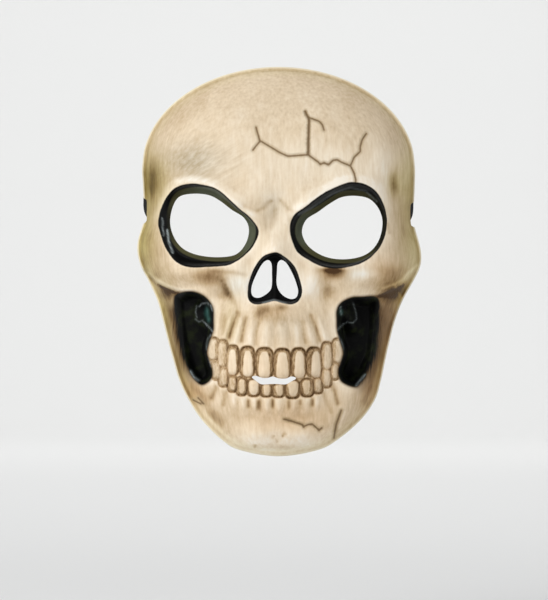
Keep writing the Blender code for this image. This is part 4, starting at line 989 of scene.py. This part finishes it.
def build_shell():
    """The moulded sheet: a fine outer face, a plainer inner one and the trimmed edges between."""
    grid = Grid()
    flat = fine_relief(grid.x.ravel(), grid.z.ravel()).reshape(grid.x.shape)
    edges = sheet_edges()
    points, triangles = sheet_triangles(edges, outer_points(edges))
    back_extra = lattice(INNER_SPACING, *FACE_BOX)
    back_extra = back_extra[inside_mask(back_extra, edges, INNER_MARGIN)]
    back_points, back_triangles = sheet_triangles(edges, back_extra)
    x, z = points.T
    front = np.column_stack([x, fine_relief(x, z) - SEAT_DEPTH, z])
    bx, bz = back_points.T
    back = np.column_stack([bx, inner_depth(grid, flat, bx, bz) - SEAT_DEPTH, bz])
    count = len(points)
    faces = triangles.tolist() + (back_triangles[:, ::-1] + count).tolist() + wall_triangles(edges, count)
    piece = mesh_piece("painted_shell", np.vstack([front, back]) * MM, faces)
    fields = paint_fields(grid, flat, x, z)
    fields = {name: np.append(values, np.zeros(len(back))) for name, values in fields.items()}
    fields["inner_side"] = np.append(np.zeros(count), np.ones(len(back)))
    for name, values in fields.items():
        layer = piece.data.attributes.new(name, "FLOAT", "POINT")
        layer.data.foreach_set("value", values.astype(np.float32))
    return piece


def mesh_piece(name, vertices, faces):
    mesh = bpy.data.meshes.new(name)
    mesh.from_pydata(np.asarray(vertices).tolist(), [], faces)
    mesh.validate()
    mesh.shade_smooth()
    piece = bpy.data.objects.new(name, mesh)
    bpy.context.scene.collection.objects.link(piece)
    return piece


class Paint:
    """A material's nodes, made by short calls."""

    def __init__(self, name):
        self.material = bpy.data.materials.new(name)
        self.material.use_nodes = True
        self.tree = self.material.node_tree
        self.shader = self.tree.nodes["Principled BSDF"]
        place = self.tree.nodes.new("ShaderNodeTexCoord")
        self.place = place.outputs["Object"]

    def plug(self, socket, value):
        if hasattr(value, "is_output"):
            self.tree.links.new(value, socket)
        elif isinstance(value, tuple) and len(value) == 3 and socket.type == "RGBA":
            socket.default_value = (*value, 1.0)
        else:
            socket.default_value = value

    def field(self, name):
        node = self.tree.nodes.new("ShaderNodeAttribute")
        node.attribute_name = name
        return node.outputs["Fac"]

    def math(self, operation, a, b=0.0, clamp=False):
        node = self.tree.nodes.new("ShaderNodeMath")
        node.operation = operation
        node.use_clamp = clamp
        self.plug(node.inputs[0], a)
        self.plug(node.inputs[1], b)
        return node.outputs[0]

    def ramp(self, value, low, high, bottom=0.0, top=1.0):
        node = self.tree.nodes.new("ShaderNodeMapRange")
        node.interpolation_type = "SMOOTHSTEP"
        for name, given in (("From Min", low), ("From Max", high), ("To Min", bottom), ("To Max", top)):
            node.inputs[name].default_value = given
        self.plug(node.inputs["Value"], value)
        return node.outputs["Result"]

    def mix(self, share, a, b, blend="MIX"):
        node = self.tree.nodes.new("ShaderNodeMix")
        node.data_type = "RGBA"
        node.blend_type = blend
        self.plug(node.inputs["Factor"], share)
        self.plug(node.inputs[6], a)
        self.plug(node.inputs[7], b)
        return node.outputs[2]

    def plus(self, a, b):
        return self.math("ADD", a, b)

    def minus(self, a, b):
        return self.math("SUBTRACT", a, b)

    def times(self, a, b, clamp=False):
        return self.math("MULTIPLY", a, b, clamp)

    def scaled(self, value, factor, shift=0.0):
        return self.times(self.plus(value, shift), factor)

    def colours(self, value, rows):
        """A run of colours: tone, colour."""
        node = self.tree.nodes.new("ShaderNodeValToRGB")
        stops = node.color_ramp.elements
        for _ in rows[2:]:
            stops.new(0.5)
        for stop, (at, colour) in zip(stops, rows):
            stop.position = at
            stop.color = (*colour, 1.0)
        self.plug(node.inputs["Fac"], value)
        return node.outputs["Color"]

    def noise(self, size, detail=3.0, roughness=0.55, stretch=(1, 1, 1), turn=0.0):
        """Noise whose features are about this many millimetres, stretched and turned in the face's plane."""
        mapping = self.tree.nodes.new("ShaderNodeMapping")
        mapping.vector_type = "TEXTURE"
        mapping.inputs["Scale"].default_value = stretch
        mapping.inputs["Rotation"].default_value = (0, math.radians(turn), 0)
        self.plug(mapping.inputs["Vector"], self.place)
        node = self.tree.nodes.new("ShaderNodeTexNoise")
        node.inputs["Scale"].default_value = 1 / (size * MM)
        node.inputs["Detail"].default_value = detail
        node.inputs["Roughness"].default_value = roughness
        self.plug(node.inputs["Vector"], mapping.outputs["Vector"])
        return node.outputs["Fac"]

    def bump(self, height, distance, strength=1.0):
        node = self.tree.nodes.new("ShaderNodeBump")
        node.inputs["Strength"].default_value = strength
        node.inputs["Distance"].default_value = distance * MM
        self.plug(node.inputs["Height"], height)
        self.plug(self.shader.inputs["Normal"], node.outputs["Normal"])

    def set(self, name, value):
        self.plug(self.shader.inputs[name], value)


def brushed_bone(p, noises):
    """Bone in the tones of the paint, with the shares of other hues."""
    broad, middle, small, upright = noises
    slanted = p.noise(1.7, 4.0, 0.6, (1.0, 1.0, 7.0), 62.0)
    turned = p.times(p.field("slant"), p.minus(slanted, upright))
    strokes = p.plus(p.scaled(upright, 1.0, -0.5), turned)
    tone = p.field("tone")
    for noise, strength in ((broad, 0.30), (middle, 0.16), (small, 0.06)):
        tone = p.plus(tone, p.scaled(noise, strength, -0.5))
    strength = p.plus(STROKES, p.times(p.field("slant"), SLANTED_STROKES))
    tone = p.plus(tone, p.times(strokes, strength))
    mottle = p.noise(0.9, 2.0, 0.6, (1.0, 1.0, 2.5))
    tone = p.plus(tone, p.times(p.scaled(mottle, MOTTLE, -0.5), p.field("groove")))
    colour = p.colours(tone, BONE_RAMP)
    for name, tint in (("olive", OLIVE_TINT), ("cool", COOL_TINT), ("warm", WARM_TINT)):
        colour = p.mix(p.field(name), colour, tint, "MULTIPLY")
    return colour


def add_cracks(p, colour, small):
    """Cracks with a brown wash beside them, and the wider sutures."""
    ragged = p.plus(p.field("crack"), p.scaled(small, 0.4, -0.5))
    suture = p.plus(p.field("suture"), p.scaled(small, 1.8, -0.5))
    for distance, far, near, share, paint in (
        (ragged, 1.8, 0.35, 0.6, CRACK_WASH),
        (ragged, 0.62, 0.14, 0.78, CRACK_BROWN),
        (suture, 1.3, 0.4, 0.45, CRACK_BROWN),
    ):
        colour = p.mix(p.times(p.ramp(distance, far, near), share), colour, paint)
    return colour


def add_rim(p, colour):
    """Olive shade towards the rim, and its pale trimmed edge."""
    rim = p.field("rim")
    colour = p.mix(p.times(p.ramp(rim, 6.0, 1.2), 0.2), colour, OLIVE_TINT, "MULTIPLY")
    return p.mix(p.times(p.ramp(rim, 0.75, 0.45), 0.85), colour, EDGE_PALE)


def add_recesses(p, colour, middle, upright):
    """Black sockets, nose and cheek hollows, and how black each place is."""
    uneven = p.scaled(middle, 0.7, -0.5)
    socket = p.ramp(p.plus(p.field("socket"), uneven), -0.3, 0.2)
    nose = p.ramp(p.plus(p.field("nose"), uneven), -0.4, 0.1)
    far, crisp = p.field("far_side"), p.field("hollow")
    soft = p.plus(crisp, p.times(p.scaled(upright, 5.0, -0.5), far))

    def by_side(near_value, far_value):
        return p.plus(near_value, p.times(p.minus(far_value, near_value), far))

    brown = by_side(p.times(p.ramp(crisp, -1.4, 0.3), 0.75), p.times(p.ramp(soft, -5.2, -0.4), 0.92))
    colour = p.mix(brown, colour, HOLLOW_BROWN)
    hollow = by_side(p.ramp(crisp, -0.5, 0.4), p.ramp(soft, -1.5, 0.7))
    black = p.math("MAXIMUM", socket, p.math("MAXIMUM", nose, hollow))
    tint = p.mix(p.times(p.ramp(middle, 0.45, 0.7), hollow), BLACK, BLACK_GREEN)
    return p.mix(black, colour, tint), black


def add_ledges(p, colour, middle):
    """The green ledge round each eye hole."""
    wide = p.field("wide_ledge")
    reach = p.plus(NARROW_LEDGE, p.times(wide, WIDE_LEDGE - NARROW_LEDGE))
    ledge = p.ramp(p.minus(p.field("to_eye_hole"), reach), 0.35, -0.35)
    ledge = p.times(ledge, p.ramp(p.field("socket"), 0.35, 0.9))
    ledge = p.times(ledge, p.minus(1.0, p.field("black_ledge")), True)
    greener = p.ramp(p.plus(wide, p.scaled(middle, 0.5, -0.5)), 0.2, 0.9)
    return p.mix(p.times(ledge, 0.9), colour, p.mix(greener, LEDGE_OLIVE, LEDGE_GREEN))


def bone_paint():
    """Airbrushed bone over ivory plastic, with brown painted shade in its hollows, glossy black recesses and
    painted highlights on their glossy edges.
    """
    p = Paint("painted_bone")
    broad = p.noise(26, 3.0)
    middle = p.noise(6, 4.0, 0.6)
    small = p.noise(1.3, 3.0, 0.65)
    upright = p.noise(1.5, 4.0, 0.6, (1.0, 1.0, 7.0))
    colour = brushed_bone(p, (broad, middle, small, upright))
    colour = add_rim(p, add_cracks(p, colour, small))
    colour, black = add_recesses(p, colour, middle, upright)
    colour = add_ledges(p, colour, middle)
    # Painted teal highlights on the black
    colour = p.mix(p.times(p.field("teal_highlight"), black), colour, TEAL_HIGHLIGHT)
    # Painted highlights, standing for reflections, on the glossy black edges
    gloss_highlight = p.times(p.field("gloss_highlight"), black)
    colour = p.mix(p.times(gloss_highlight, p.ramp(small, 0.3, 0.6, 0.55, 1.0)), colour, SHEEN_HIGHLIGHT)
    p.set("Base Color", p.mix(p.ramp(p.field("inner_side"), 0.4, 0.9), colour, INNER_IVORY))
    p.set("Roughness", p.ramp(small, 0.3, 0.7, 0.42, 0.56))
    p.set("Specular IOR Level", 0.05)
    grain = p.plus(p.times(small, 0.3), p.times(p.noise(0.5, 2.0), 0.2))
    grain = p.plus(grain, p.times(upright, 0.5))
    p.bump(p.times(grain, p.minus(1.0, black)), 0.14, 0.28)
    return p.material


def elastic_knit():
    """Flat black knitted elastic: fine ribs along it and short stitches across."""
    p = Paint("elastic_knit")
    height = p.tree.nodes.new("ShaderNodeSeparateXYZ")
    p.plug(height.inputs[0], p.place)
    ribs = p.math("SINE", p.times(height.outputs["Z"], 2 * math.pi / (RIB * MM)))
    fibres = p.noise(0.35, 2.0, 0.7, (1, 1, 3))
    p.set("Base Color", p.mix(p.ramp(fibres, 0.3, 0.8), KNIT_DARK, KNIT_PALE))
    p.set("Roughness", 0.9)
    p.set("Specular IOR Level", 0.15)
    p.bump(p.plus(p.times(ribs, 0.5), fibres), 0.2, 0.7)
    return p.material


def bright_wire():
    p = Paint("bright_wire")
    wear = p.noise(0.8, 3.0, 0.6)
    p.set("Base Color", p.mix(p.ramp(wear, 0.4, 0.7), WIRE_BRIGHT, WIRE_DULL))
    p.set("Metallic", 1.0)
    p.set("Roughness", p.ramp(wear, 0.3, 0.8, 0.25, 0.5))
    p.bump(wear, 0.03, 0.4)
    return p.material


def plain_floor():
    """A pale floor that turns up softly into a backdrop."""
    low = FLOOR_HEIGHT
    start, end, radius = BACKDROP
    profile = [(start, low), (end - radius, low)]
    for angle in np.radians(range(10, 91, 10)):
        profile.append((end - radius * (1 - math.sin(angle)), low + radius * (1 - math.cos(angle))))
    profile.append((end, BACKDROP_TOP))
    vertices = [(side * BACKDROP_HALF_WIDTH, y, z) for y, z in profile for side in (-1, 1)]
    faces = [(2 * k, 2 * k + 1, 2 * k + 3, 2 * k + 2) for k in range(len(profile) - 1)]
    floor = mesh_piece("floor", vertices, faces)
    p = Paint("pale_floor")
    p.set("Base Color", FLOOR_COLOUR)
    p.set("Roughness", 0.85)
    floor.data.materials.append(p.material)


def studio():
    for name, place, target, size, power in LIGHTS:
        data = bpy.data.lights.new(name, "AREA")
        data.shape = "RECTANGLE"
        data.size, data.size_y = size
        data.energy = power
        light = bpy.data.objects.new(name, data)
        light.location = place
        light.visible_camera = False
        light.rotation_euler = (Vector(target) - Vector(place)).to_track_quat("-Z", "Y").to_euler()
        bpy.context.scene.collection.objects.link(light)
    world = bpy.data.worlds.new("studio")
    world.use_nodes = True
    background = world.node_tree.nodes["Background"]
    background.inputs["Color"].default_value = WORLD_COLOUR
    background.inputs["Strength"].default_value = WORLD_STRENGTH
    bpy.context.scene.world = world


def camera():
    data = bpy.data.cameras.new("camera")
    data.sensor_fit = "HORIZONTAL"
    data.sensor_width = 36.0
    data.lens = data.sensor_width * (CAMERA_DISTANCE + MATCH_DEPTH) / (IMAGE_SIZE[0] * MM_PER_PIXEL)
    data.clip_end = 20.0
    made = bpy.data.objects.new("camera", data)
    x, z = pixel(IMAGE_SIZE[0] / 2, IMAGE_SIZE[1] / 2)
    made.location = (x * MM, -CAMERA_DISTANCE * MM, z * MM)
    made.rotation_euler = (math.pi / 2, 0, 0)
    bpy.context.scene.collection.objects.link(made)
    bpy.context.scene.camera = made
    bpy.context.scene.view_settings.view_transform = "Standard"


camera()
plain_floor()
studio()
shell = build_shell()
shell.data.materials.append(bone_paint())
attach(shell, "root")
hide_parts("mask_shell")
knit, wire = elastic_knit(), bright_wire()
for node, look in (("elastic_strap", knit), ("staple_left", wire), ("staple_right", wire)):
    bpy.data.objects[node].material_slots[0].material = look
